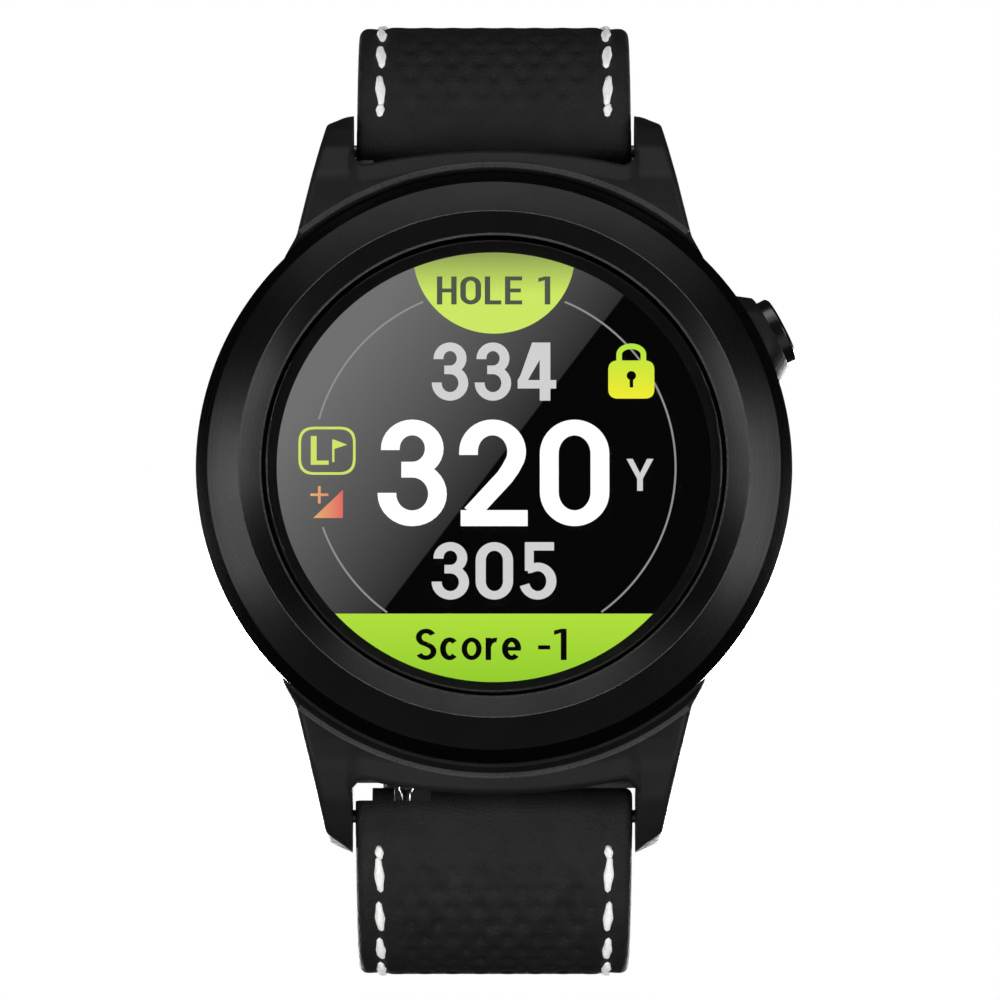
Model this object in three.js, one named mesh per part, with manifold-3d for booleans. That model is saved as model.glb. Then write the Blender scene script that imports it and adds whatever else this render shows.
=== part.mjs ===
// Golf GPS watch with a stitched two-piece strap, worn on the wrist.
//
// Every solid is drawn in a bench frame, dial up: x points to 3 o'clock, y to
// 12 o'clock, z out of the glass, and the flat case back is z = 0.  One group
// then turns the bench so that the dial faces -Y and 12 o'clock is +Z.
// The strap is open: both halves leave the lugs, bend round and run back.
// Units are millimetres.

import * as THREE from 'three';
import { mergeVertices } from 'three/addons/utils/BufferGeometryUtils.js';
import Module from 'manifold-3d';

const wasm = await Module();
wasm.setup();

// ---------------------------------------------------------------------------
// Driving dimensions
// ---------------------------------------------------------------------------

const ROUND = 48;                    // facets of every large round part
const SMALL_ROUND = 16;              // facets of pins, caps and screws

// Case
const CASE_RADIUS = 22.9;
const CASE_FOOT_RADIUS = 20.6;
const CASE_FOOT_Z = 0.3;
const CASE_SIDE_LOW_Z = 2.4;
const CASE_TOP_Z = 9.6;
const CAVITY_RADIUS = 19.4;
const CAVITY_FLOOR_Z = 3.0;
const FLOOR_OPENING_RADIUS = 15.2;
const BACK_RECESS_RADIUS = 18.5;
const BACK_RECESS_TOP_Z = 1.3;
const SKIRT_RECESS_RADIUS = 20.7;
const SKIRT_RECESS_Z = 8.1;
const SHOULDER_TOP_Z = 9.9;
const SHOULDER_RECESS_RADIUS = 23.2;
const SHOULDER_CHAMFER_RADIUS = 23.7;
const SHOULDER_END_Y = 24.8;
const SHOULDER_END_ARC_RADIUS = 46;

// Lugs and spring bars
const LUG_INNER_X = 10.92;
const LUG_ROOT_X = 15.6;
const LUG_TIP_OUTER_X = 13.05;
const LUG_END_Y = 28.9;
const BAR_Y = 26.1;
const BAR_Z = 2.6;
const BAR_TUBE_RADIUS = 0.9;
const BAR_TUBE_BORE = 0.6;
const BAR_TUBE_HALF_LENGTH = 9.9;
const BAR_TIP_RADIUS = 0.5;
const BAR_TIP_X = 11.9;
const LUG_HOLE_RADIUS = 0.62;
const LUG_HOLE_END_X = 12.15;
const RELEASE_KNOB_X = -6.8;
const RELEASE_TRAVEL = 1.2;
const RELEASE_SLOT_HALF_WIDTH = 0.42;

// Bezel, glass and display
const RIDGE_RADIUS = 19.7;
const RIDGE_Z = 13.0;
const BEZEL_LIP_RADIUS = 17.9;
const BEZEL_LIP_Z = 12.15;
const BEZEL_FACE_RADIUS = 22.1;
const BEZEL_FACE_Z = 12.1;
const BEZEL_OUTER_RADIUS = 23.0;
const BEZEL_OUTER_Z = 10.8;
const BEZEL_BASE_Z = 9.66;
const GLASS_RADIUS = 17.6;
const GLASS_TOP_Z = 12.0;
const GLASS_BOTTOM_Z = 10.62;
const GLASS_SEAT_Z = 10.3;
const GLASS_SEAT_RADIUS = 16.95;
const DISPLAY_RADIUS = 16.8;

// Case back
const BACK_PLATE_RADIUS = 18.4;
const BACK_PLATE_TOP_Z = 1.2;
const BACK_SCREW_CIRCLE = 17.0;
const BACK_SCREW_ANGLES = [45, 135, 225, 315];
const CONTACT_Y = -9.5;
const CONTACT_PITCH = 2.54;

// Pusher at 2 o'clock; its own axis runs outward from the middle of the case
const PUSHER_ANGLE = 27.4;
const PUSHER_Z = 5.9;
const PUSHER_CAP_RADIUS = 2.65;
const PUSHER_CAP_FACE = 25.2;
const PUSHER_CAP_UNDERSIDE = 23.35;
const PUSHER_TRAVEL = 0.8;
const PUSHER_STEM_RADIUS = 0.8;
const PUSHER_BORE_RADIUS = 1.25;
const PUSHER_STEM_END = 18.6;
const GUARD_RADIUS = 4.2;
const GUARD_FACE_RADIUS = 3.15;
const GUARD_FACE = 24.2;
const GUARD_COUNTERBORE_RADIUS = 2.85;
const GUARD_COUNTERBORE_FLOOR = 22.4;

// Strap
const STRAP_WIDTH = 21.4;
const STRAP_BUCKLE_WIDTH = 18.4;
const STRAP_TAPER_LENGTH = 75;
const STRAP_THICKNESS = 2.4;
const STRAP_SWELL = 2.0;             // extra thickness at the spring bar
const STRAP_SWELL_LENGTH = 12;
const LINING_THICKNESS = 0.8;
const LINING_START = 4.5;
const LAYER_GAP = 0.05;
const LOOP_RADIUS = 2.2;
const LOOP_HOLE_RADIUS = 1.05;
const BEND_START_ANGLE = -5;
const BEND_RADIUS = 9;
const BEND_END_ANGLE = 97;
const RUN_RADIUS = 150;
const SHORT_LENGTH = 72;
const LONG_LENGTH = 110;
const HOLE_COUNT = 8;
const HOLE_FIRST = 58;
const HOLE_PITCH = 5.6;
const HOLE_RADIUS = 1.25;

// Buckle and keepers
const BUCKLE_BAR_RADIUS = 0.85;
const BUCKLE_LOOP_RADIUS = 1.85;
const BUCKLE_INNER_HALF_WIDTH = 9.75;
const BUCKLE_OUTER_HALF_WIDTH = 11.6;
const BUCKLE_REACH = 12.5;
const BUCKLE_BAR_DEPTH = 2.2;
const FIXED_KEEPER_S = 62;
const FREE_KEEPER_S = 49;
const KEEPER_WIDTH = 5.0;
const KEEPER_WALL = 1.1;
const KEEPER_SPACE = 2.6;            // room over the strap for the other half

// ---------------------------------------------------------------------------
// Materials
// ---------------------------------------------------------------------------

function material(color, roughness, metalness) {
  return new THREE.MeshStandardMaterial({ color, roughness, metalness });
}

const BLACK_BEZEL_METAL = material(0x1c1b1d, 0.32, 0.9);
const CASE_RESIN = material(0x1d1c1e, 0.55, 0.1);
const PUSHER_METAL = material(0x2a292b, 0.3, 0.9);
const GLASS = material(0x0a0a0c, 0.05, 0.0);
const DISPLAY = material(0x0c0d0e, 0.3, 0.0);
const RUBBER = material(0x111112, 0.8, 0.0);
const STEEL = material(0xb8babd, 0.3, 1.0);
const BACK_RESIN = material(0x202022, 0.5, 0.1);
const FRAME_RESIN = material(0x2c2c30, 0.6, 0.0);
const CIRCUIT_BOARD = material(0x12402a, 0.5, 0.1);
const CELL_FILM = material(0x8d9096, 0.35, 0.6);
const CERAMIC = material(0xcfc7b4, 0.6, 0.0);
const GOLD = material(0xd0a548, 0.3, 1.0);
const COPPER_FLEX = material(0xa5662c, 0.45, 0.3);
const STRAP_SKIN = material(0x1f1f20, 0.7, 0.0);
const STRAP_BACKING = material(0x29292b, 0.75, 0.0);
const BUCKLE_METAL = material(0x232224, 0.3, 0.9);

// ---------------------------------------------------------------------------
// Solid helpers
// ---------------------------------------------------------------------------

// Merge shared corners, drop empty triangles and turn the faces outward.
function closed(geometry) {
  const bare = geometry.clone();
  bare.deleteAttribute('normal');
  bare.deleteAttribute('uv');
  const merged = mergeVertices(bare, 1e-4);
  const position = merged.attributes.position;
  const kept = [];
  let volume = 0;
  for (let i = 0; i < merged.index.count; i += 3) {
    const corner = [0, 1, 2].map((k) => merged.index.getX(i + k));
    if (new Set(corner).size < 3) continue;
    kept.push(corner);
    const [a, b, c] = corner.map((k) => new THREE.Vector3().fromBufferAttribute(position, k));
    volume += a.dot(b.cross(c));
  }
  const order = volume < 0 ? kept.map(([a, b, c]) => [a, c, b]) : kept;
  merged.setIndex(order.flat());
  return merged;
}

function solid(geometry) {
  const merged = closed(geometry);
  return new wasm.Manifold(new wasm.Mesh({
    numProp: 3,
    vertProperties: new Float32Array(merged.attributes.position.array),
    triVerts: new Uint32Array(merged.index.array),
  }));
}

function unite(...pieces) {
  return pieces.reduce((total, piece) => total.add(piece));
}

function cut(base, ...tools) {
  return tools.reduce((rest, tool) => rest.subtract(tool), base);
}

function shell(manifold) {
  const mesh = manifold.getMesh();
  const geometry = new THREE.BufferGeometry();
  geometry.setAttribute('position', new THREE.BufferAttribute(mesh.vertProperties.slice(), 3));
  geometry.setIndex(Array.from(mesh.triVerts));
  return geometry;
}

// A closed outline of [radius, height] pairs turned about the bench z axis.
function turned(outline, segments = ROUND) {
  const onAxis = outline[0][0] === 0;
  const points = outline.map(([r, h]) => new THREE.Vector2(r, h));
  if (!onAxis) points.push(points[0].clone());
  return new THREE.LatheGeometry(points, segments).rotateX(Math.PI / 2);
}

// A disc or post with its axis along z.
function post(radius, z0, z1, segments = SMALL_ROUND) {
  return turned([[0, z0], [radius, z0], [radius, z1], [0, z1]], segments);
}

function ring(inner, outer, z0, z1, segments = ROUND) {
  return turned([[inner, z0], [outer, z0], [outer, z1], [inner, z1]], segments);
}

// A rod along x from x0 to x1 at a bench y and z.
function rodX(radius, x0, x1, y, z, segments = SMALL_ROUND) {
  return post(radius, x0, x1, segments).rotateY(Math.PI / 2).translate(0, y, z);
}

// A plan outline raised from z0 to z1.
function raised(outline, z0, z1) {
  const shape = new THREE.Shape(outline.map(([x, y]) => new THREE.Vector2(x, y)));
  return new THREE.ExtrudeGeometry(shape, { depth: z1 - z0, bevelEnabled: false }).translate(0, 0, z0);
}

// A side outline of [y, z] pairs, extruded along x from x0 to x1.
function sideways(outline, x0, x1) {
  const shape = new THREE.Shape(outline.map(([y, z]) => new THREE.Vector2(y, z)));
  const flat = new THREE.ExtrudeGeometry(shape, { depth: x1 - x0, bevelEnabled: false });
  const swap = new THREE.Matrix4().makeBasis(
    new THREE.Vector3(0, 1, 0), new THREE.Vector3(0, 0, 1), new THREE.Vector3(1, 0, 0));
  return flat.applyMatrix4(swap).translate(x0, 0, 0);
}

function block(x0, x1, y0, y1, z0, z1) {
  return new THREE.BoxGeometry(x1 - x0, y1 - y0, z1 - z0)
    .translate((x0 + x1) / 2, (y0 + y1) / 2, (z0 + z1) / 2);
}

// A plate with rounded corners, centred on (x, y).
function roundedPlate(width, depth, corner, x, y, z0, z1) {
  const outline = [];
  for (let quarter = 0; quarter < 4; quarter += 1) {
    const sx = quarter === 0 || quarter === 3 ? 1 : -1;
    const sy = quarter < 2 ? 1 : -1;
    for (let step = 0; step <= 3; step += 1) {
      const angle = (quarter + step / 3) * (Math.PI / 2);
      outline.push([
        x + sx * (width / 2 - corner) + corner * Math.cos(angle),
        y + sy * (depth / 2 - corner) + corner * Math.sin(angle),
      ]);
    }
  }
  return raised(outline, z0, z1);
}

// A round wire following a list of points, closed at both ends.
function wire(points, radius, steps, sides) {
  const curve = new THREE.CatmullRomCurve3(points);
  const section = new THREE.Shape();
  section.absarc(0, 0, radius, 0, Math.PI * 2);
  const geometry = new THREE.ExtrudeGeometry(
    new THREE.Shape(section.getPoints(sides).slice(0, sides)),
    { steps, extrudePath: curve, bevelEnabled: false });
  return geometry;
}

// A helical spring along z.
function coil(radius, wireRadius, z0, z1, turns, perTurn, sides) {
  const points = [];
  const count = Math.round(turns * perTurn);
  for (let i = 0; i <= count; i += 1) {
    const angle = (i / perTurn) * Math.PI * 2;
    const z = z0 + ((z1 - z0) * i) / count;
    points.push(new THREE.Vector3(radius * Math.cos(angle), radius * Math.sin(angle), z));
  }
  return wire(points, wireRadius, count, sides);
}

const bench = new THREE.Group();
bench.rotation.x = Math.PI / 2;

function add(name, shape, look) {
  const geometry = shape.isBufferGeometry ? closed(shape) : shell(shape);
  const mesh = new THREE.Mesh(geometry, look);
  mesh.name = name;
  bench.add(mesh);
  return mesh;
}

// ---------------------------------------------------------------------------
// Case
// ---------------------------------------------------------------------------

// Turn a shape drawn along z so that it runs outward along the pusher's axis.
function alongPusher(geometry) {
  return geometry
    .rotateY(Math.PI / 2)
    .rotateZ(THREE.MathUtils.degToRad(PUSHER_ANGLE))
    .translate(0, 0, PUSHER_Z);
}

function shoulderArc(sign) {
  const centre = SHOULDER_END_Y - SHOULDER_END_ARC_RADIUS;
  const points = [];
  for (let step = 0; step <= 8; step += 1) {
    const x = -LUG_INNER_X + (2 * LUG_INNER_X * step) / 8;
    const y = centre + Math.sqrt(SHOULDER_END_ARC_RADIUS ** 2 - x * x);
    points.push([x, sign * y]);
  }
  return points;
}

// The land between one pair of lugs, undercut to make room for the strap.
function shoulder(sign) {
  const arc = shoulderArc(sign);
  const plan = raised([[-LUG_INNER_X, sign * 10], ...arc, [LUG_INNER_X, sign * 10]], -1, 12);
  const side = sideways([
    [sign * 10, CASE_FOOT_Z], [sign * 22.4, CASE_FOOT_Z], [sign * 22.9, 0.9],
    [sign * 22.9, 4.6], [sign * 25.3, 7.9], [sign * 25.3, 9.1],
    [sign * 24.4, 9.55], [sign * 23.4, SHOULDER_TOP_Z], [sign * 10, SHOULDER_TOP_Z],
  ], -LUG_INNER_X, LUG_INNER_X);
  return solid(plan).intersect(solid(side));
}

// One pair of lugs: straight tapering flanks, ends sloping down to the back.
function lugPair(sign) {
  const side = sideways([
    [sign * 10, CASE_FOOT_Z], [sign * 27.2, CASE_FOOT_Z], [sign * 28.1, 0.6],
    [sign * 28.7, 1.4], [sign * LUG_END_Y, 2.7], [sign * 28.5, 4.6],
    [sign * 27.3, 6.7], [sign * 25.5, 8.5], [sign * 24.0, 9.5],
    [sign * 23.0, SHOULDER_TOP_Z], [sign * 10, SHOULDER_TOP_Z],
  ], -LUG_ROOT_X - 1, LUG_ROOT_X + 1);
  const plan = [-1, 1].map((hand) => raised([
    [hand * (LUG_INNER_X - 0.4), sign * 10], [hand * (LUG_INNER_X - 0.4), sign * 20],
    [hand * LUG_INNER_X, sign * 20.2],
    [hand * LUG_INNER_X, sign * LUG_END_Y], [hand * 12.75, sign * 28.1],
    [hand * LUG_TIP_OUTER_X, sign * 27.5], [hand * 15.3, sign * 18.3],
    [hand * LUG_ROOT_X, sign * 16.8], [hand * LUG_ROOT_X, sign * 10],
  ], -1, 12));
  return unite(solid(plan[0]), solid(plan[1])).intersect(solid(side));
}

function caseBody() {
  const drum = solid(turned([
    [0, CASE_FOOT_Z], [CASE_FOOT_RADIUS, CASE_FOOT_Z], [CASE_RADIUS - 0.7, 1.2],
    [CASE_RADIUS, CASE_SIDE_LOW_Z], [CASE_RADIUS, CASE_TOP_Z], [0, CASE_TOP_Z],
  ]));
  const guard = solid(alongPusher(turned([
    [0, 20.5], [GUARD_RADIUS, 20.5], [GUARD_RADIUS, 22.9],
    [GUARD_FACE_RADIUS, GUARD_FACE], [0, GUARD_FACE],
  ], SMALL_ROUND))).intersect(solid(post(30, 1.6, CASE_TOP_Z - 0.05, ROUND)));
  const outside = unite(drum, shoulder(1), shoulder(-1), lugPair(1), lugPair(-1), guard);

  const shoulderRecess = solid(turned([
    [0, CASE_TOP_Z], [SHOULDER_RECESS_RADIUS, CASE_TOP_Z],
    [SHOULDER_CHAMFER_RADIUS, SHOULDER_TOP_Z + 0.05], [SHOULDER_CHAMFER_RADIUS, 12], [0, 12],
  ]));
  const cavity = solid(post(CAVITY_RADIUS, CAVITY_FLOOR_Z, 12, ROUND));
  const floorOpening = solid(post(FLOOR_OPENING_RADIUS, 0, 12, ROUND));
  const backRecess = solid(post(BACK_RECESS_RADIUS, -1, BACK_RECESS_TOP_Z, ROUND));
  const skirtRecess = solid(post(SKIRT_RECESS_RADIUS, SKIRT_RECESS_Z, 12, ROUND));
  const gasketGroove = solid(ring(19.7, 20.4, SKIRT_RECESS_Z - 0.55, SKIRT_RECESS_Z + 1));
  const counterbore = solid(alongPusher(
    post(GUARD_COUNTERBORE_RADIUS, GUARD_COUNTERBORE_FLOOR, 26)));
  const bore = solid(alongPusher(post(PUSHER_BORE_RADIUS, 17, 24)));
  const screwHoles = BACK_SCREW_ANGLES.map((angle) => {
    const [x, y] = onCircle(BACK_SCREW_CIRCLE, angle);
    return solid(post(0.78, 0.5, 2.8, 12).translate(x, y, 0));
  });
  const barHoles = [-1, 1].flatMap((hand) => [-1, 1].map((end) => solid(
    rodX(LUG_HOLE_RADIUS, hand < 0 ? -LUG_HOLE_END_X : 10.4, hand < 0 ? -10.4 : LUG_HOLE_END_X,
      end * BAR_Y, BAR_Z, 12))));
  add('case_body', cut(outside, shoulderRecess, cavity, floorOpening, backRecess,
    skirtRecess, gasketGroove, counterbore, bore, ...screwHoles, ...barHoles), CASE_RESIN);
}

function onCircle(radius, angle) {
  const turn = THREE.MathUtils.degToRad(angle);
  return [radius * Math.cos(turn), radius * Math.sin(turn)];
}

// ---------------------------------------------------------------------------
// Bezel, glass and display
// ---------------------------------------------------------------------------

function bezelAndGlass() {
  add('bezel', turned([
    [BEZEL_LIP_RADIUS, GLASS_SEAT_Z + 0.0], [GLASS_SEAT_RADIUS, GLASS_SEAT_Z],
    [GLASS_SEAT_RADIUS, BEZEL_BASE_Z], [CAVITY_RADIUS, BEZEL_BASE_Z],
    [CAVITY_RADIUS, SKIRT_RECESS_Z + 0.1], [SKIRT_RECESS_RADIUS - 0.15, SKIRT_RECESS_Z + 0.1],
    [SKIRT_RECESS_RADIUS - 0.15, BEZEL_BASE_Z], [22.5, BEZEL_BASE_Z], [22.9, 10.0],
    [BEZEL_OUTER_RADIUS, 10.4], [BEZEL_OUTER_RADIUS, BEZEL_OUTER_Z], [22.75, 11.3],
    [BEZEL_FACE_RADIUS, BEZEL_FACE_Z], [RIDGE_RADIUS, RIDGE_Z],
    [BEZEL_LIP_RADIUS, BEZEL_LIP_Z],
  ]), BLACK_BEZEL_METAL);
  add('bezel_gasket', ring(19.76, 20.34, SKIRT_RECESS_Z - 0.48, SKIRT_RECESS_Z + 0.05), RUBBER);
  add('lens', turned([
    [0, GLASS_BOTTOM_Z], [GLASS_RADIUS, GLASS_BOTTOM_Z], [GLASS_RADIUS, GLASS_TOP_Z - 0.25],
    [GLASS_RADIUS - 0.25, GLASS_TOP_Z], [0, GLASS_TOP_Z],
  ]), GLASS);
  add('lens_gasket', ring(17.05, GLASS_RADIUS, GLASS_SEAT_Z + 0.05, GLASS_BOTTOM_Z - 0.05), RUBBER);
  add('display_panel', cut(
    solid(post(DISPLAY_RADIUS, 9.7, 10.5, ROUND)),
    solid(block(-6, 6, -20, -15.9, 9, 9.95)),
  ), DISPLAY);
  // The flex folds from under the display's lower edge down to the board.
  add('display_flex', sideways([
    [-17.4, 9.62], [-16.0, 9.62], [-16.0, 9.48], [-17.25, 9.48],
    [-17.25, 4.84], [-16.4, 4.84], [-16.4, 4.7], [-17.4, 4.7],
  ], -4, 4), COPPER_FLEX);
}

// ---------------------------------------------------------------------------
// Inside the case
// ---------------------------------------------------------------------------

function innerFrame() {
  const plate = solid(turned([
    [0, 8.3], [19.2, 8.3], [19.2, 9.0], [18.8, 9.5], [0, 9.5],
  ]));
  const flexSlot = solid(block(-4.6, 4.6, -18.3, -15.8, 8, 10));
  const leg = (angle) => {
    const [x, y] = onCircle(17.6, angle);
    return solid(post(0.9, 4.75, 8.6, 8).translate(x, y, 0));
  };
  const frame = unite(cut(plate, flexSlot), leg(60), leg(120), leg(200), leg(330));
  add('inner_frame', frame, FRAME_RESIN);
}

function electronics() {
  add('main_board', cut(
    solid(post(18.7, 3.9, 4.6, 48)),
    solid(post(1.5, 3, 5, 16).translate(13.5, -9.5, 0)),
    solid(block(17.2, 20, -2.4, 2.4, 3, 5).rotateZ(THREE.MathUtils.degToRad(PUSHER_ANGLE))),
  ), CIRCUIT_BOARD);
  add('battery', roundedPlate(25, 19, 1.5, -2.2, -3.2, 4.75, 8.1), CELL_FILM);
  add('battery_connector', block(-17.0, -15.2, -2, 2, 4.68, 5.7), FRAME_RESIN);
  add('gps_antenna', roundedPlate(11, 8, 0.6, 0, 12.2, 4.7, 8.0), CERAMIC);
  add('shield_can', roundedPlate(15, 10, 0.8, 2, 6.5, 2.3, 3.82), STEEL);
  add('vibration_motor', post(4.0, 1.55, 3.82).translate(-9, -2, 0), STEEL);
  add('buzzer', post(3.2, 1.6, 3.82).translate(8.6, -4, 0), FRAME_RESIN);
  // The side switch stands on the board and faces the end of the pusher stem.
  const switchBody = solid(block(14.0, 16.6, -2.4, 2.4, 4.68 - PUSHER_Z, 7.6 - PUSHER_Z));
  const plunger = solid(block(16.5, PUSHER_STEM_END - PUSHER_TRAVEL - 0.1, -0.7, 0.7, -0.6, 0.6));
  const turn = new THREE.Matrix4().makeRotationZ(THREE.MathUtils.degToRad(PUSHER_ANGLE));
  turn.setPosition(0, 0, PUSHER_Z);
  add('tact_switch', shell(unite(switchBody, plunger)).applyMatrix4(turn), STEEL);
}

function caseBack() {
  const plate = solid(post(BACK_PLATE_RADIUS, 0, BACK_PLATE_TOP_Z, ROUND));
  const gasketGroove = solid(ring(15.5, 16.1, 0.8, 2));
  const screwSeats = BACK_SCREW_ANGLES.map((angle) => {
    const [x, y] = onCircle(BACK_SCREW_CIRCLE, angle);
    return solid(turned([[0, -1], [1.0, -1], [1.0, 0.72], [0.85, 0.78], [0.85, 2], [0, 2]], 12)
      .translate(x, y, 0));
  });
  const contactHoles = [0, 1, 2, 3].map((index) => solid(
    post(0.72, -1, 2, 12).translate((index - 1.5) * CONTACT_PITCH, CONTACT_Y, 0)));
  const dish = solid(turned([[0, -1], [11.6, -1], [11.3, 0.22], [0, 0.22]]))
    .subtract(solid(post(9.2, -2, 2, ROUND)));
  add('case_back', cut(plate, gasketGroove, dish, ...screwSeats, ...contactHoles), BACK_RESIN);
  add('case_back_gasket', ring(15.55, 16.05, 0.85, BACK_RECESS_TOP_Z - 0.05), RUBBER);

  BACK_SCREW_ANGLES.forEach((angle, index) => {
    const [x, y] = onCircle(BACK_SCREW_CIRCLE, angle);
    const screw = solid(turned([
      [0, 0.08], [0.9, 0.08], [0.9, 0.66], [0.62, 0.72], [0.62, 2.6], [0, 2.6],
    ], 12));
    const socket = solid(post(0.42, -1, 0.5, 6));
    add(`case_back_screw_${index + 1}`, cut(screw, socket).translate([x, y, 0]), STEEL);
  });

  [0, 1, 2, 3].forEach((index) => {
    add(`charge_contact_${index + 1}`, turned([
      [0, 0.05], [0.62, 0.05], [0.62, 1.5], [0.3, 1.55], [0.3, 1.9], [0, 1.9],
    ], 12).translate((index - 1.5) * CONTACT_PITCH, CONTACT_Y, 0), GOLD);
  });
  const carrier = solid(roundedPlate(11.5, 3.4, 0.5, 0, CONTACT_Y, 1.3, 3.82));
  const wells = [0, 1, 2, 3].map((index) => solid(
    post(0.75, 1, 2.2, 12).translate((index - 1.5) * CONTACT_PITCH, CONTACT_Y, 0)));
  add('contact_carrier', cut(carrier, ...wells), FRAME_RESIN);
}

// ---------------------------------------------------------------------------
// Pusher
// ---------------------------------------------------------------------------

function pusher() {
  const cap = unite(
    solid(turned([
      [PUSHER_CAP_RADIUS - 0.35, PUSHER_CAP_UNDERSIDE], [PUSHER_CAP_RADIUS, PUSHER_CAP_UNDERSIDE],
      [PUSHER_CAP_RADIUS, PUSHER_CAP_FACE - 0.25], [PUSHER_CAP_RADIUS - 0.25, PUSHER_CAP_FACE],
      [0, PUSHER_CAP_FACE], [0, 24.5], [PUSHER_CAP_RADIUS - 0.35, 24.5],
    ].reverse().map(([r, h]) => [r, h]), SMALL_ROUND)));
  const socket = solid(post(0.55, 24.0, 24.9, 12));
  add('pusher_cap', shellAlong(cut(cap, socket)), PUSHER_METAL);

  const stem = unite(
    solid(post(PUSHER_STEM_RADIUS, PUSHER_STEM_END, 24.4)),
    solid(post(0.48, 24.2, 24.82, 12)));
  const clipGroove = solid(ring(0.52, 1.5, 18.88, 19.22, SMALL_ROUND));
  const ringGroove = solid(ring(0.66, 1.5, 20.7, 21.3, SMALL_ROUND));
  add('pusher_stem', shellAlong(cut(stem, clipGroove, ringGroove)), STEEL);

  const clip = solid(ring(0.58, 1.7, 18.95, 19.15, SMALL_ROUND));
  const mouth = solid(block(0, 3, -0.5, 0.5, 18, 20));
  add('pusher_clip', shellAlong(cut(clip, mouth)), STEEL);
  add('pusher_oring', shellAlong(solid(turned([
    [0.72, 21.0], [0.8, 20.82], [0.95, 20.76], [1.12, 20.82],
    [1.2, 21.0], [1.12, 21.18], [0.95, 21.24], [0.8, 21.18],
  ], SMALL_ROUND))), RUBBER);
  const spring = coil(1.7, 0.14, GUARD_COUNTERBORE_FLOOR + 0.2, 24.3, 2.5, 14, 6);
  add('pusher_spring', alongPusher(spring), STEEL);
}

function shellAlong(manifold) {
  return alongPusher(shell(manifold));
}

// ---------------------------------------------------------------------------
// Spring bars
// ---------------------------------------------------------------------------

// A hollow bar with one fixed tip; the other tip is a sprung pin whose knob
// comes out through a slot on the side that faces the case.
function springBar(clock, sign) {
  const y = sign * BAR_Y;
  const half = BAR_TUBE_HALF_LENGTH;
  const tube = unite(
    solid(rodX(BAR_TUBE_RADIUS, -half, half, y, BAR_Z)),
    solid(rodX(BAR_TIP_RADIUS, half - 0.5, BAR_TIP_X, y, BAR_Z)));
  const hollow = solid(rodX(BAR_TUBE_BORE, -half - 1, -1, y, BAR_Z));
  const slotEnds = [RELEASE_KNOB_X - 0.45, RELEASE_KNOB_X + RELEASE_TRAVEL + 0.45];
  const slot = solid(block(
    slotEnds[0], slotEnds[1], Math.min(y, y - sign * 1.5), Math.max(y, y - sign * 1.5),
    BAR_Z - RELEASE_SLOT_HALF_WIDTH, BAR_Z + RELEASE_SLOT_HALF_WIDTH));
  add(`spring_bar_${clock}`, cut(tube, hollow, slot), STEEL);

  const pin = solid(rodX(BAR_TIP_RADIUS, -BAR_TIP_X, RELEASE_KNOB_X + 0.6, y, BAR_Z));
  const neck = solid(post(0.3, 0, 2.2, 10).rotateX(sign * Math.PI / 2)
    .translate(RELEASE_KNOB_X, y, BAR_Z));
  const knob = solid(new THREE.SphereGeometry(0.55, 10, 8)
    .translate(RELEASE_KNOB_X, y - sign * 2.2, BAR_Z));
  add(`release_pin_${clock}`, unite(pin, neck, knob), STEEL);
  add(`bar_spring_${clock}`, coil(0.4, 0.09, RELEASE_KNOB_X + 0.85, -1.25, 5, 8, 5)
    .rotateY(Math.PI / 2).translate(0, y, BAR_Z), STEEL);
}

// ---------------------------------------------------------------------------
// Strap
// ---------------------------------------------------------------------------

// The middle line of a strap half at a distance s from its spring bar: a tight
// bend past the lug, then a long gentle curve toward the back.
function station(s) {
  const start = THREE.MathUtils.degToRad(BEND_START_ANGLE);
  const end = THREE.MathUtils.degToRad(BEND_END_ANGLE);
  const bendLength = BEND_RADIUS * (end - start);
  const along = (from, radius, distance, y, z) => {
    const turn = from + distance / radius;
    return {
      turn,
      y: y + radius * (Math.sin(turn) - Math.sin(from)),
      z: z + radius * (Math.cos(turn) - Math.cos(from)),
    };
  };
  if (s <= bendLength) return along(start, BEND_RADIUS, s, BAR_Y, BAR_Z);
  const corner = along(start, BEND_RADIUS, bendLength, BAR_Y, BAR_Z);
  return along(end, RUN_RADIUS, s - bendLength, corner.y, corner.z);
}

function thickness(s) {
  return STRAP_THICKNESS + STRAP_SWELL * Math.exp(-s / STRAP_SWELL_LENGTH);
}

function width(s) {
  const share = Math.min(s / STRAP_TAPER_LENGTH, 1) ** 1.3;
  return STRAP_WIDTH - (STRAP_WIDTH - STRAP_BUCKLE_WIDTH) * share;
}

// Put a shape drawn at the origin, y along the strap and z out of its face,
// at a place on the strap.
function onStrap(geometry, s, sign) {
  const { turn, y, z } = station(s);
  const placing = new THREE.Matrix4().makeBasis(
    new THREE.Vector3(sign, 0, 0),
    new THREE.Vector3(0, sign * Math.cos(turn), -Math.sin(turn)),
    new THREE.Vector3(0, sign * Math.sin(turn), Math.cos(turn)));
  placing.setPosition(0, sign * y, z);
  return geometry.applyMatrix4(placing);
}

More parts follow.
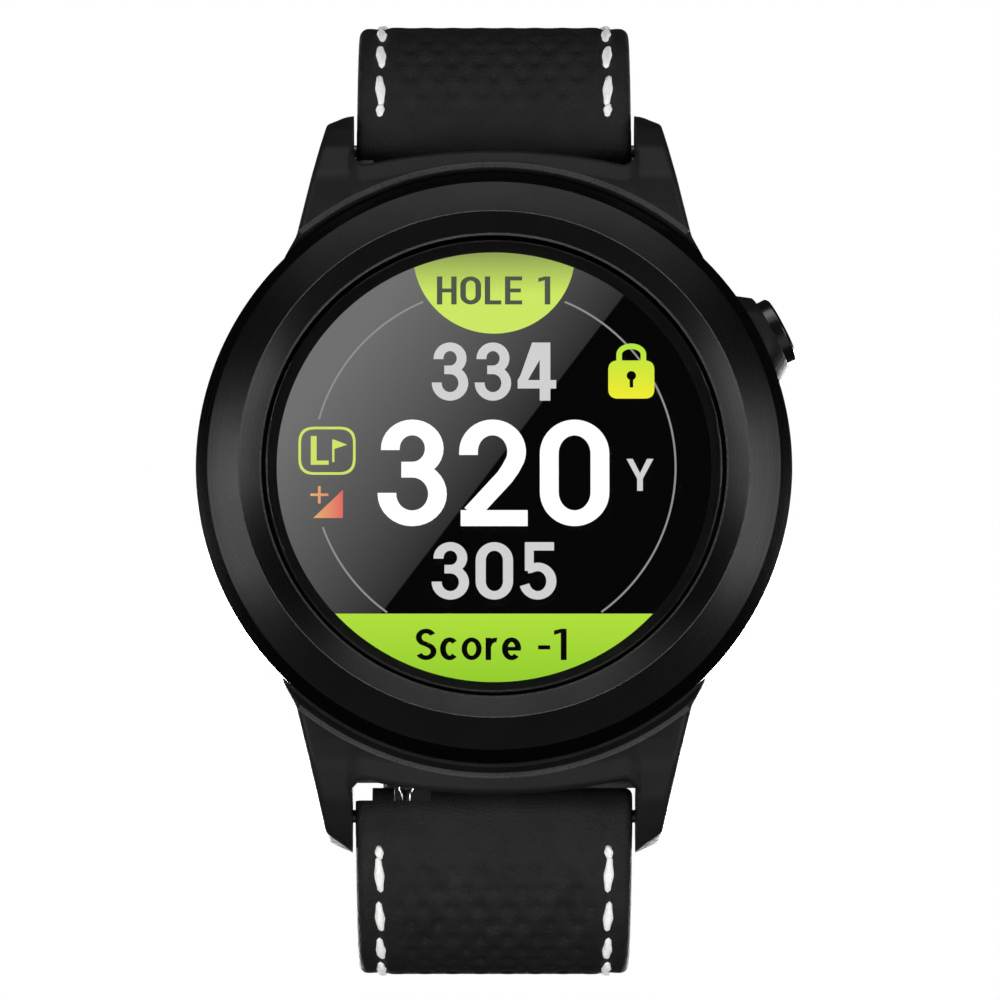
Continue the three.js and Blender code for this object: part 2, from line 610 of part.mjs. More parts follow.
// A band swept along the strap: rounded section, changing width and thickness.
function band(places, sign, halfWidth, top, bottom, corner, cornerPoints = 3) {
  const positions = [];
  const index = [];
  const sides = 4 * cornerPoints;
  places.forEach((s) => {
    const { turn, y, z } = station(s);
    const round = Math.min(corner, (top(s) - bottom(s)) * 0.45);
    const centres = [[1, top(s)], [-1, top(s)], [-1, bottom(s)], [1, bottom(s)]];
    centres.forEach(([hand, height], quarter) => {
      const inward = quarter < 2 ? -1 : 1;
      for (let step = 0; step < cornerPoints; step += 1) {
        const angle = (quarter + step / (cornerPoints - 1)) * (Math.PI / 2);
        const x = hand * (halfWidth(s) - round) + round * Math.cos(angle);
        const h = height + inward * round + round * Math.sin(angle);
        positions.push(x, sign * (y + h * Math.sin(turn)), z + h * Math.cos(turn));
      }
    });
  });
  for (let row = 0; row < places.length - 1; row += 1) {
    for (let k = 0; k < sides; k += 1) {
      const a = row * sides + k;
      const b = row * sides + ((k + 1) % sides);
      index.push(a, b, a + sides, b, b + sides, a + sides);
    }
  }
  const last = (places.length - 1) * sides;
  for (let k = 1; k < sides - 1; k += 1) {
    index.push(0, k + 1, k, last, last + k, last + k + 1);
  }
  const geometry = new THREE.BufferGeometry();
  geometry.setAttribute('position', new THREE.BufferAttribute(new Float32Array(positions), 3));
  geometry.setIndex(index);
  return geometry;
}

// Places along a strap half: close together round the bend, wider apart after.
function placesAlong(from, to, extra = []) {
  const places = [from, to, ...extra];
  for (let s = 0; s < 20; s += 2) places.push(s);
  for (let s = 20; s < to; s += 5) places.push(s);
  return [...new Set(places)].filter((s) => s >= from && s <= to).sort((a, b) => a - b);
}

function tipNarrowing(s) {
  const roundStart = LONG_LENGTH - 9;
  if (s <= roundStart) return 1;
  return Math.sqrt(1 - 0.93 * ((s - roundStart) / 9) ** 2);
}

// The skin: wraps round the spring bar, and stops short of the full thickness
// where the lining lies under it.
function skin(sign, length, liningEnd, narrowing) {
  const fullBelow = (s) => s < LINING_START - 0.2 || s > liningEnd + 0.1;
  const body = solid(band(
    placesAlong(0, length, [LINING_START - 0.25, LINING_START - 0.1, liningEnd, liningEnd + 0.3,
      length - 6, length - 3, length - 1.5, length - 0.6]),
    sign,
    (s) => (width(s) / 2) * narrowing(s),
    (s) => thickness(s) / 2,
    (s) => -thickness(s) / 2 + (fullBelow(s) ? 0 : LINING_THICKNESS + LAYER_GAP),
    0.7));
  const loop = solid(rodX(LOOP_RADIUS, -STRAP_WIDTH / 2, STRAP_WIDTH / 2, sign * BAR_Y, BAR_Z, 20));
  const barHole = solid(rodX(LOOP_HOLE_RADIUS, -12, 12, sign * BAR_Y, BAR_Z));
  const inner = sign * (BAR_Y - 4);
  const middle = sign * BAR_Y;
  const low = Math.min(inner, middle);
  const high = Math.max(inner, middle);
  const cornerNotch = solid(block(-12, -9.4, low, high, -1, 6));
  const knobWindow = solid(block(-7.7, -4.9, low, high, -1, 6));
  return cut(unite(body, loop), barHole, cornerNotch, knobWindow);
}

function lining(sign, end, narrowing) {
  return solid(band(
    placesAlong(LINING_START, end, [end - 6, end - 3, end - 1.5, end - 0.6]),
    sign,
    (s) => (width(s) / 2 - 0.25) * narrowing(s),
    (s) => -thickness(s) / 2 + LINING_THICKNESS,
    (s) => -thickness(s) / 2,
    0.3,
    2));
}

// The half at 12 o'clock ends in a loop round the buckle's bar.
function shortHalf() {
  const whole = () => 1;
  const end = SHORT_LENGTH;
  const halfWidth = STRAP_BUCKLE_WIDTH / 2;
  const loop = solid(onStrap(
    rodX(BUCKLE_LOOP_RADIUS, -halfWidth, halfWidth, 0, 0), end, 1));
  const barHole = solid(onStrap(rodX(1.02, -12, 12, 0, 0), end, 1));
  const tongueSlot = solid(onStrap(block(-2.3, 2.3, -2.8, 4, -4, 4), end, 1));
  const outer = skin(1, end, end - 4, whole);
  add('strap_12_skin', cut(unite(outer, loop), barHole, tongueSlot), STRAP_SKIN);
  add('strap_12_lining', lining(1, end - 4.1, whole), STRAP_BACKING);
}

// The half at 6 o'clock has a row of holes and a rounded tip.
function longHalf() {
  const holes = [];
  for (let index = 0; index < HOLE_COUNT; index += 1) {
    holes.push(solid(onStrap(
      post(HOLE_RADIUS, -4, 4, 10), HOLE_FIRST + index * HOLE_PITCH, -1)));
  }
  const outer = skin(-1, LONG_LENGTH, LONG_LENGTH + 5, tipNarrowing);
  add('strap_6_skin', cut(outer, ...holes), STRAP_SKIN);
  add('strap_6_lining', cut(lining(-1, LONG_LENGTH - 0.5, tipNarrowing), ...holes), STRAP_BACKING);
}

// ---------------------------------------------------------------------------
// Buckle and keepers
// ---------------------------------------------------------------------------

function buckle() {
  const s = SHORT_LENGTH;
  const half = BUCKLE_BAR_DEPTH / 2;
  const outline = solid(roundedPlate(
    2 * BUCKLE_OUTER_HALF_WIDTH, BUCKLE_REACH + 2.3, 1.6, 0, BUCKLE_REACH / 2 - 0.55, -half, half));
  const opening = solid(block(
    -BUCKLE_INNER_HALF_WIDTH, BUCKLE_INNER_HALF_WIDTH, -4, BUCKLE_REACH - 1.6, -3, 3));
  const barHole = solid(rodX(0.98, -14, 14, 0, 0));
  add('buckle_frame', shellOnStrap(cut(outline, opening, barHole), s), BUCKLE_METAL);
  add('buckle_bar', onStrap(rodX(BUCKLE_BAR_RADIUS, -11.3, 11.3, 0, 0), s, 1), STEEL);
  const eye = solid(rodX(1.75, -1.9, 1.9, 0, 0));
  const blade = solid(sideways([
    [0, 1.0], [1.2, 1.2], [BUCKLE_REACH + 0.4, 1.2], [BUCKLE_REACH + 0.4, 1.9],
    [BUCKLE_REACH - 0.4, 2.1], [0, 1.72],
  ], -1.1, 1.1));
  const eyeHole = solid(rodX(0.98, -3, 3, 0, 0));
  add('buckle_tongue', shellOnStrap(cut(unite(eye, blade), eyeHole), s), BUCKLE_METAL);
}

function shellOnStrap(manifold, s) {
  return onStrap(shell(manifold), s, 1);
}

// A loop round the short half, with room above the strap for the long half.
function keeper(name, s, side, below) {
  const inner = width(s) / 2 + side;
  const floor = -thickness(s) / 2 - below;
  const ceiling = thickness(s) / 2 + KEEPER_SPACE;
  const outline = (grow, corner) => {
    const height = ceiling - floor + 2 * grow;
    return roundedPlate(2 * (inner + grow), height, corner, 0, (ceiling + floor) / 2,
      -KEEPER_WIDTH / 2, KEEPER_WIDTH / 2);
  };
  const hoop = cut(solid(outline(KEEPER_WALL, 1.4)),
    solid(outline(0, 0.35).scale(1, 1, 2)));
  // Stand the hoop up so that its opening runs along the strap.
  add(name, shellOnStrap(hoop.rotate([90, 0, 0]), s), STRAP_SKIN);
}

caseBody();
bezelAndGlass();
innerFrame();
electronics();
caseBack();
pusher();
springBar('12', 1);
springBar('6', -1);
shortHalf();
longHalf();
buckle();
keeper('fixed_keeper', FIXED_KEEPER_S, 0.15, 0.12);
keeper('free_keeper', FREE_KEEPER_S, 0.4, 0.5);

const group = new THREE.Group();
group.name = 'golf_gps_watch';
group.add(bench);

export default group;
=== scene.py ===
"""Looks of the golf GPS watch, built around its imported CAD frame.

Shapes are drawn in the bench frame of the CAD source, in millimetres: x to
3 o'clock, y to 12 o'clock, z out of the glass, the case back at z = 0.
to_row() turns a bench point into the row frame, in metres.
"""
from math import asin, atan2, cos, degrees, exp, hypot, pi, radians, sin, sqrt, tan

import bpy
import bmesh
import numpy as np
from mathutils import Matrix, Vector


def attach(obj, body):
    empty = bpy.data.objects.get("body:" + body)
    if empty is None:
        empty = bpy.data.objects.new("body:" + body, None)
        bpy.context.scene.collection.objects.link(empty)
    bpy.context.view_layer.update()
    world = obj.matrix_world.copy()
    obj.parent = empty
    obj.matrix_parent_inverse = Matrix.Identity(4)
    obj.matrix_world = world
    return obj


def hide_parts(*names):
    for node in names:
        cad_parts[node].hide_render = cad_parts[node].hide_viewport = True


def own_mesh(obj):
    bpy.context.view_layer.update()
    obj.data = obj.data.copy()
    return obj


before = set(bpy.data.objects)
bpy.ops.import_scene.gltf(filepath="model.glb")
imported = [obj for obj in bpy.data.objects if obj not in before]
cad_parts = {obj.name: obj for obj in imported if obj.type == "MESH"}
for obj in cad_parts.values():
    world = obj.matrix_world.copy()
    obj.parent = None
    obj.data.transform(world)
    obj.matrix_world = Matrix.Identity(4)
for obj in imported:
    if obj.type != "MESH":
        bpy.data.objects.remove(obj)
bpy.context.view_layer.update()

# --- Dimensions, in millimetres, the same as the CAD source's ---

CASE_RADIUS = 22.9
CASE_TOP_Z = 9.6
CASE_BOTTOM_Z = 0.3
SHOULDER_TOP_Z = 9.9
SHOULDER_END_Y = 24.8
SHOULDER_END_ARC = 46.0
LUG_INNER_X = 10.92
LUG_END_Y = 28.9
LUG_ROOT_Y = 8.0
BAR_Y = 26.1
BAR_Z = 2.6
RIDGE_RADIUS = 19.7
RIDGE_Z = 13.0
LIP_RADIUS = 17.9
GLASS_RADIUS = 17.6
GLASS_TOP_Z = 12.0
GLASS_BOTTOM_Z = 10.62
DISPLAY_RADIUS = 16.8
DISPLAY_TOP_Z = 10.5
SCREEN_RADIUS = 16.72

# The pusher lies along a line from the dial's centre; its places are distances on that line.
PUSHER_ANGLE = 27.4
PUSHER_Z = 5.9
WELL_RADIUS = 2.86
WELL_FLOOR = 22.4
STEM_BORE = 1.25

STRAP_WIDTH = 21.4
STRAP_END_WIDTH = 18.4
TAPER_LENGTH = 75.0
STRAP_THICKNESS = 2.4
STRAP_SWELL = 2.0
SWELL_FADE = 12.0
LOOP_RADIUS = 2.2
BEND_START = radians(-5)
BEND_END = radians(97)
BEND_RADIUS = 9.0
RUN_RADIUS = 150.0
SHORT_LENGTH = 72.0
LONG_LENGTH = 110.0
TIP_LENGTH = 9
LINING = 0.8
HOLE_COUNT = 8
FIRST_HOLE = 58
HOLE_PITCH = 5.6
HOLE_RADIUS = 1.25
BUCKLE_BORE = 0.98

# A face whose normal is this close to the dial's axis is shaded flat.
FLATNESS = 0.99999

# --- Mesh helpers ---


def to_row(p):
    """A bench point in millimetres as a row point in metres."""
    return (p[0] * 1e-3, -p[2] * 1e-3, p[1] * 1e-3)


def clamp(value):
    return max(0.0, min(1.0, value))


def make(name, points, faces, smooth=35):
    """A mesh object from bench points; edges sharper than smooth degrees stay sharp."""
    mesh = bpy.data.meshes.new(name)
    mesh.from_pydata([to_row(p) for p in points], [], faces)
    mesh.validate()
    obj = bpy.data.objects.new(name, mesh)
    bpy.context.scene.collection.objects.link(obj)
    tidy(obj, smooth)
    return obj


def tidy(obj, smooth=35):
    """Merge doubles, face every normal outward and set the smooth shading."""
    bm = bmesh.new()
    bm.from_mesh(obj.data)
    bmesh.ops.remove_doubles(bm, verts=bm.verts, dist=2e-6)
    bmesh.ops.recalc_face_normals(bm, faces=bm.faces)
    bm.to_mesh(obj.data)
    bm.free()
    # Faces square to the dial's axis stay flat, so that none of them shades unevenly.
    curved = [abs(face.normal.y) < FLATNESS for face in obj.data.polygons]
    obj.data.polygons.foreach_set("use_smooth", curved)
    obj.data.set_sharp_from_angle(angle=radians(smooth))


def rounded(outline, steps=4, closed=True):
    """An outline of 2-D points with its corners turned into arcs.

    A corner's radius is its third number; a point without one stays sharp."""
    count = len(outline)
    result = []
    for i, point in enumerate(outline):
        if len(point) < 3 or (not closed and i in (0, count - 1)):
            result.append(tuple(point[:2]))
            continue
        p = Vector(point[:2])
        back = Vector(outline[i - 1][:2]) - p
        ahead = Vector(outline[(i + 1) % count][:2]) - p
        reach = min(point[2] / tan(back.angle(ahead) / 2), 0.48 * back.length, 0.48 * ahead.length)
        a = p + back.normalized() * reach
        b = p + ahead.normalized() * reach
        for k in range(steps + 1):
            t = k / steps
            q = a.lerp(p, t).lerp(p.lerp(b, t), t)
            result.append((q.x, q.y))
    return result


def lathe(name, outline, segments=256, smooth=35, place=None):
    """A closed outline of (radius, height) points turned about the bench z axis, or put in place."""
    points, faces = [], []
    count = len(outline)
    for k in range(segments):
        turn = 2 * pi * k / segments
        c, s = cos(turn), sin(turn)
        points += [(r * c, r * s, z) for r, z in outline]
    for k in range(segments):
        a, b = k * count, ((k + 1) % segments) * count
        for i in range(count):
            j = (i + 1) % count
            if outline[i][0] <= 0 and outline[j][0] <= 0:
                continue
            faces.append((a + i, b + i, b + j, a + j))
    if place:
        points = [place(p) for p in points]
    return make(name, points, faces, smooth)


def skin_rows(rows, close_ends=True, loop=True):
    """Points and faces of a surface through equal rows of points."""
    points = [p for row in rows for p in row]
    n = len(rows[0])
    faces = []
    span = n if loop else n - 1
    for r in range(len(rows) - 1):
        for k in range(span):
            a, b = r * n + k, r * n + (k + 1) % n
            faces.append((a, b, b + n, a + n))
    if close_ends:
        faces.append(tuple(range(n - 1, -1, -1)))
        last = (len(rows) - 1) * n
        faces.append(tuple(range(last, last + n)))
    return points, faces


def swept(name, rows, smooth=35, close_ends=True, loop=True):
    """A mesh object through equal rows of bench points."""
    points, faces = skin_rows(rows, close_ends, loop)
    return make(name, points, faces, smooth)


def along_pusher(p):
    """A point drawn with z along the pusher's axis, in the bench frame."""
    turn = radians(PUSHER_ANGLE)
    c, s = cos(turn), sin(turn)
    x, y, z = p[2], p[1], -p[0]
    return (x * c - y * s, x * s + y * c, z + PUSHER_Z)


def moved(x, y):
    """A placing function that shifts a point by x and y."""
    return lambda p: (p[0] + x, p[1] + y, p[2])


def boolean(obj, tool, operation="DIFFERENCE"):
    """Cut or join tool into obj, and remove tool."""
    step = obj.modifiers.new("cut", "BOOLEAN")
    step.operation = operation
    step.solver = "EXACT"
    step.object = tool
    apply_modifiers(obj)
    bpy.data.objects.remove(tool)
    return obj


def apply_modifiers(obj):
    depsgraph = bpy.context.evaluated_depsgraph_get()
    mesh = bpy.data.meshes.new_from_object(obj.evaluated_get(depsgraph))
    old = obj.data
    obj.modifiers.clear()
    obj.data = mesh
    bpy.data.meshes.remove(old)


def box_mesh(name, x0, x1, y0, y1, z0, z1, place=None):
    points = [(x, y, z) for z in (z0, z1) for y in (y0, y1) for x in (x0, x1)]
    if place:
        points = [place(p) for p in points]
    faces = [(0, 2, 3, 1), (4, 5, 7, 6), (0, 1, 5, 4), (2, 6, 7, 3), (0, 4, 6, 2), (1, 3, 7, 5)]
    return make(name, points, faces)


def rod_x(name, radius, x0, x1, y, z, segments=64, tip=0.0):
    """A rod along x with its ends rounded by tip."""
    profile = [(0, x0), (radius - tip, x0), (radius, x0 + tip)]
    profile += [(radius, x1 - tip), (radius - tip, x1), (0, x1)]
    rows = []
    for k in range(segments):
        turn = 2 * pi * k / segments
        rows.append([(h, y + r * cos(turn), z + r * sin(turn)) for r, h in profile])
    rows.append(rows[0])
    return swept(name, rows, 40, close_ends=False, loop=False)


def paint(obj, material, slot, body, *nodes):
    """Give a piece its material, its body, and the CAD nodes that it stands for; the record slot is not used."""
    obj.data.materials.clear()
    obj.data.materials.append(material)
    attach(obj, body)
    if nodes:
        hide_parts(*nodes)
    return obj

# --- Material helpers ---


class Nodes:
    """A material's node tree, with short calls to add and link nodes."""

    def __init__(self, name):
        self.material = bpy.data.materials.new(name)
        self.material.use_nodes = True
        self.tree = self.material.node_tree
        self.shader = self.tree.nodes["Principled BSDF"]
        self.place = self.add("ShaderNodeTexCoord").outputs["Object"]

    def add(self, kind, **settings):
        node = self.tree.nodes.new(kind)
        for key, value in settings.items():
            setattr(node, key, value)
        return node

    def link(self, source, target):
        self.tree.links.new(source, target)

    def feed(self, name, source):
        """Link source to one of the shader's inputs."""
        self.link(source, self.shader.inputs[name])

    def set(self, **values):
        for key, value in values.items():
            self.shader.inputs[key.replace("_", " ")].default_value = value

    def noise(self, millimetres, detail=3.0, rough=0.55, place=None, stretch=None):
        """Noise whose features are about that many millimetres across."""
        source = place or self.place
        if stretch:
            mapping = self.add("ShaderNodeMapping")
            mapping.inputs["Scale"].default_value = stretch
            self.link(source, mapping.inputs["Vector"])
            source = mapping.outputs["Vector"]
        node = self.add("ShaderNodeTexNoise")
        node.inputs["Scale"].default_value = 1000.0 / millimetres
        node.inputs["Detail"].default_value = detail
        node.inputs["Roughness"].default_value = rough
        self.link(source, node.inputs["Vector"])
        return node.outputs["Fac"]

    def ramp(self, source, low, high, start=0.3, end=0.7):
        """A number or colour that goes from low to high with source."""
        node = self.add("ShaderNodeValToRGB")
        for stop, value, where in zip(node.color_ramp.elements, (low, high), (start, end)):
            stop.position = where
            stop.color = (*value, 1) if hasattr(value, "__len__") else (value, value, value, 1)
        self.link(source, node.inputs["Fac"])
        return node.outputs["Color"]

    def bump(self, height, millimetres, strength=1.0):
        """Relief of that depth from height, on top of any relief so far."""
        node = self.add("ShaderNodeBump")
        node.inputs["Distance"].default_value = millimetres * 1e-3
        node.inputs["Strength"].default_value = strength
        self.link(height, node.inputs["Height"])
        normal = self.shader.inputs["Normal"]
        if normal.is_linked:
            self.link(normal.links[0].from_socket, node.inputs["Normal"])
        self.link(node.outputs["Normal"], normal)

    def axes(self):
        """The X, Y and Z of the place."""
        split = self.add("ShaderNodeSeparateXYZ")
        self.link(self.place, split.inputs[0])
        return split.outputs

    def calc(self, operation, *values):
        """A calculation on sockets or plain numbers."""
        node = self.add("ShaderNodeMath", operation=operation)
        for value, target in zip(values, node.inputs):
            if isinstance(value, float):
                target.default_value = value
            else:
                self.link(value, target)
        return node.outputs[0]

    def span(self, source, low, high):
        """0 to 1 as source goes from low to high millimetres."""
        node = self.add("ShaderNodeMapRange")
        node.inputs["From Min"].default_value = low * 1e-3
        node.inputs["From Max"].default_value = high * 1e-3
        self.link(source, node.inputs["Value"])
        return node.outputs["Result"]


def moulded(name, dark, light, rough, grain=0.18, relief=0.012):
    """Moulded resin with a fine spark-eroded grain."""
    n = Nodes(name)
    n.set(IOR=1.5)
    n.feed("Base Color", n.ramp(n.noise(3.5, 4), dark, light))
    fine = n.noise(grain, 4, 0.6)
    n.feed("Roughness", n.ramp(fine, rough - 0.06, rough + 0.08))
    n.bump(fine, relief)
    return n.material


def turned_metal(name, color, rough):
    """Coated metal turned on a lathe: very fine rings about the dial's axis."""
    n = Nodes(name)
    n.set(Metallic=1.0, IOR=1.6)
    x, y, z = n.axes()
    radius = n.calc("SQRT", n.calc("ADD", n.calc("MULTIPLY", x, x), n.calc("MULTIPLY", z, z)))
    place = n.add("ShaderNodeCombineXYZ")
    n.link(radius, place.inputs["X"])
    n.link(y, place.inputs["Y"])
    rings = n.noise(0.09, 3, 0.6, place.outputs[0])
    shade = n.ramp(n.noise(5.0, 3), [c * 0.9 for c in color], [c * 1.1 for c in color])
    n.feed("Base Color", shade)
    n.feed("Roughness", n.ramp(rings, rough - 0.02, rough + 0.03))
    n.bump(rings, 0.0005)
    return n.material


def brushed_metal(name, color, rough, stretch=(1, 1, 12)):
    """Metal with fine brush lines; stretch squeezes them across an axis."""
    n = Nodes(name)
    n.set(Metallic=1.0)
    brush = n.noise(0.6, 4, 0.6, stretch=stretch)
    n.feed("Base Color", n.ramp(brush, [c * 0.85 for c in color], color))
    n.feed("Roughness", n.ramp(brush, rough, rough + 0.12))
    n.bump(brush, 0.004)
    return n.material


def leather(name, dark, light, rough=0.55, relief=0.03):
    """Matte black grain: fine pores over slow changes of shade."""
    n = Nodes(name)
    n.set(IOR=1.48)
    n.feed("Base Color", n.ramp(n.noise(2.2, 5), dark, light))
    cells = n.add("ShaderNodeTexVoronoi", feature="DISTANCE_TO_EDGE")
    cells.inputs["Scale"].default_value = 1000 / 0.35
    n.link(n.place, cells.inputs["Vector"])
    fine = n.noise(0.12, 4, 0.65)
    n.feed("Roughness", n.ramp(fine, rough - 0.07, rough + 0.1))
    n.bump(n.ramp(cells.outputs["Distance"], 0.0, 1.0, 0.0, 0.25), relief)
    n.bump(fine, relief * 0.5)
    return n.material


def thread(name, dark, light):
    """Twisted sewing thread with a slight fuzz."""
    n = Nodes(name)
    n.set(IOR=1.45, Sheen_Weight=0.3, Sheen_Roughness=0.5, Roughness=0.75)
    fibre = n.noise(0.12, 4, 0.7)
    n.feed("Base Color", n.ramp(fibre, dark, light))
    n.bump(fibre, 0.02)
    return n.material


def lit(name, color, strength, second=None, axis="Z", low=-10, high=10):
    """A lit area of the display: one colour, or a blend of two between low and high on an axis."""
    n = Nodes(name)
    n.set(Roughness=0.4, Base_Color=(0.0, 0.0, 0.0, 1), Emission_Strength=strength, Specular_IOR_Level=0.0)
    if second:
        shade = n.ramp(n.span(n.axes()[axis], low, high), color, second, 0.0, 1.0)
    else:
        shade = n.ramp(n.noise(0.16, 0, 0.5), [c * 0.97 for c in color], color)
    n.feed("Emission Color", shade)
    return n.material


CASE = moulded("case_resin", (0.0075, 0.0075, 0.008), (0.0095, 0.0095, 0.010), 0.42)
# A painted highlight for the rims on the shoulders: resin far lighter than the case's own.
CASE_RIM_HIGHLIGHT = moulded("case_rim_painted_highlight", (0.030, 0.030, 0.031), (0.038, 0.038, 0.039), 0.3)
BACK = moulded("back_resin", (0.014, 0.014, 0.016), (0.019, 0.019, 0.021), 0.38)
INNER = moulded("inner_resin", (0.03, 0.03, 0.034), (0.045, 0.045, 0.05), 0.5)
BEZEL = turned_metal("bezel_metal", (0.055, 0.054, 0.056), 0.26)
# A painted highlight for the bezel's crest and inner lip: a lighter colour without metal.
BEZEL_EDGE_HIGHLIGHT = moulded("bezel_edge_painted_highlight", (0.040, 0.040, 0.041), (0.055, 0.055, 0.056), 0.25, 0.3, 0.002)
PUSHER = turned_metal("pusher_metal", (0.2, 0.198, 0.204), 0.22)
BUCKLE = brushed_metal("buckle_metal", (0.07, 0.07, 0.073), 0.26, (14, 1, 1))
STEEL = brushed_metal("steel", (0.62, 0.63, 0.65), 0.24)
GOLD = brushed_metal("gold", (0.83, 0.6, 0.22), 0.22)
RUBBER = moulded("rubber", (0.008, 0.008, 0.008), (0.012, 0.012, 0.012), 0.6)
SKIN = leather("strap_skin", (0.0085, 0.0085, 0.0088), (0.0125, 0.0125, 0.013))
BACKING = leather("strap_backing", (0.016, 0.016, 0.017), (0.023, 0.023, 0.024), 0.62, 0.02)
PRINT = moulded("black_print", (0.020, 0.020, 0.021), (0.024, 0.024, 0.025), 0.45, 1.5, 0.002)
THREAD = thread("white_thread", (0.62, 0.62, 0.6), (0.9, 0.9, 0.88))

# --- Case: drum, lugs, the land between them and the pusher's guard ---


def at(curve, value):
    """The curve's second number where its first is value; curve is sorted."""
    return float(np.interp(value, [p[0] for p in curve], [p[1] for p in curve]))


def rounded_box_section(a, b, low, high, top_radius, low_radius, steps=5):
    """Corners of a rounded rectangle from a to b across and low to high, as pairs."""
    reach = [min(r, 0.45 * abs(b - a), 0.45 * (high - low)) for r in (low_radius, low_radius, *top_radius)]
    corners = [(a, low), (b, low), (b, high), (a, high)]
    sign = 1 if b > a else -1
    starts = [180, 270, 0, 90]
    section = []
    for (x, z), r, start in zip(corners, reach, starts):
        cx = x + (r if x == a else -r) * sign
        cz = z + (r if z == low else -r)
        for k in range(steps + 1):
            turn = radians(start + 90 * k / steps)
            section.append((cx + sign * r * cos(turn), cz + r * sin(turn)))
    return section


def lug(hand, sign):
    """One lug, swept along y: its flank tapers, its end is cut on a slant."""
    flank = rounded([(LUG_ROOT_Y, 16.9), (16.4, 16.35, 2.5), (18.3, 15.3, 2.0), (27.75, 12.98, 0.55),
                     (LUG_END_Y, LUG_INNER_X + 0.02)], 6, closed=False)
    top = rounded([(LUG_ROOT_Y, SHOULDER_TOP_Z), (22.9, SHOULDER_TOP_Z, 2.5), (25.5, 8.45, 2.5),
                   (27.3, 6.7, 2.5), (28.5, 4.6, 2.0), (LUG_END_Y, 2.75)], 6, closed=False)
    low = rounded([(LUG_ROOT_Y, CASE_BOTTOM_Z), (27.2, CASE_BOTTOM_Z, 1.5), (28.3, 0.8, 1.0),
                   (LUG_END_Y, 2.3)], 6, closed=False)
    ends = {LUG_ROOT_Y, 12.0, 15.0, 28.82, 28.87, LUG_END_Y}
    rows = []
    for y in sorted({*ends, *np.arange(16.0, 28.8, 0.2).round(3)}):
        inner = LUG_INNER_X - 0.5 * clamp(21.0 - y)
        section = rounded_box_section(inner, max(at(flank, y), inner + 0.05), at(low, y),
                                      max(at(top, y), at(low, y) + 0.1), (0.55, 0.3), 0.4)
        rows.append([(hand * x, sign * y, z) for x, z in section])
    return swept("lug", rows)


def land(sign):
    """The case between two lugs: flat on top, undercut for the strap."""
    side = rounded([(LUG_ROOT_Y, CASE_BOTTOM_Z), (22.8, CASE_BOTTOM_Z, 0.2), (23.3, 0.9, 0.2), (23.3, 4.6, 0.6),
                    (25.05, 7.9, 0.35), (25.05, 9.25, 0.2), (SHOULDER_END_Y, 9.45, 0.3),
                    (23.6, SHOULDER_TOP_Z, 0.8), (LUG_ROOT_Y, SHOULDER_TOP_Z)], 5)
    centre = SHOULDER_END_Y - SHOULDER_END_ARC
    half = LUG_INNER_X + 0.3
    rows = []
    for x in np.linspace(-half, half, 64):
        drop = SHOULDER_END_Y - (centre + sqrt(SHOULDER_END_ARC ** 2 - x * x))
        corner = 0.9 * max(0.0, (abs(x) - LUG_INNER_X + 1.0)) ** 2
        # The foot reaches further out where no release knob has to pass.
        reach = 0.4 * clamp((x + 2) / 4)
        row = []
        for y, z in side:
            is_foot = z < 4.7 and y > 22
            shift = reach if is_foot else -(drop - corner) * clamp((y - 16) / 7)
            row.append((x, sign * (y + shift), z))
        rows.append(row)
    return swept("land", rows)


def guard():
    """The raised collar that the pusher moves in."""
    outline = rounded([(0, 19.0), (4.2, 19.0), (4.2, 22.7, 0.5), (3.2, 24.15, 0.25), (WELL_RADIUS, 24.2, 0.06),
                       (WELL_RADIUS, WELL_FLOOR), (STEM_BORE, WELL_FLOOR), (STEM_BORE, 20.2), (0, 20.2)], 4)
    rows = []
    for k in range(97):
        turn = 2 * pi * k / 96
        row = [along_pusher((r * cos(turn), r * sin(turn), h)) for r, h in outline]
        rows.append([(x, y, min(z, CASE_TOP_Z - 0.05)) for x, y, z in row])
    return swept("guard", rows, 40, close_ends=False)


def shoulder_rims():
    """A slightly glossier rim on each shoulder, next to the bezel; its far lighter colour is a painted highlight.
    """
    section = rounded([(r, z, 0.03) for r, z in [(23.6, 9.84), (24.04, 9.84), (24.04, 9.93), (23.94, 9.98),
                                                 (23.66, 9.98), (23.6, 9.93)]], 2)
    for sign in (-1, 1):
        rows = []
        for turn in np.radians(np.linspace(90 - 39, 90 + 39, 97)):
            rows.append([(r * cos(turn), sign * r * sin(turn), z) for r, z in section])
        rim = swept(f"shoulder_rim_{2 + sign}", rows)
        paint(rim, CASE_RIM_HIGHLIGHT, "case_resin", "watch")


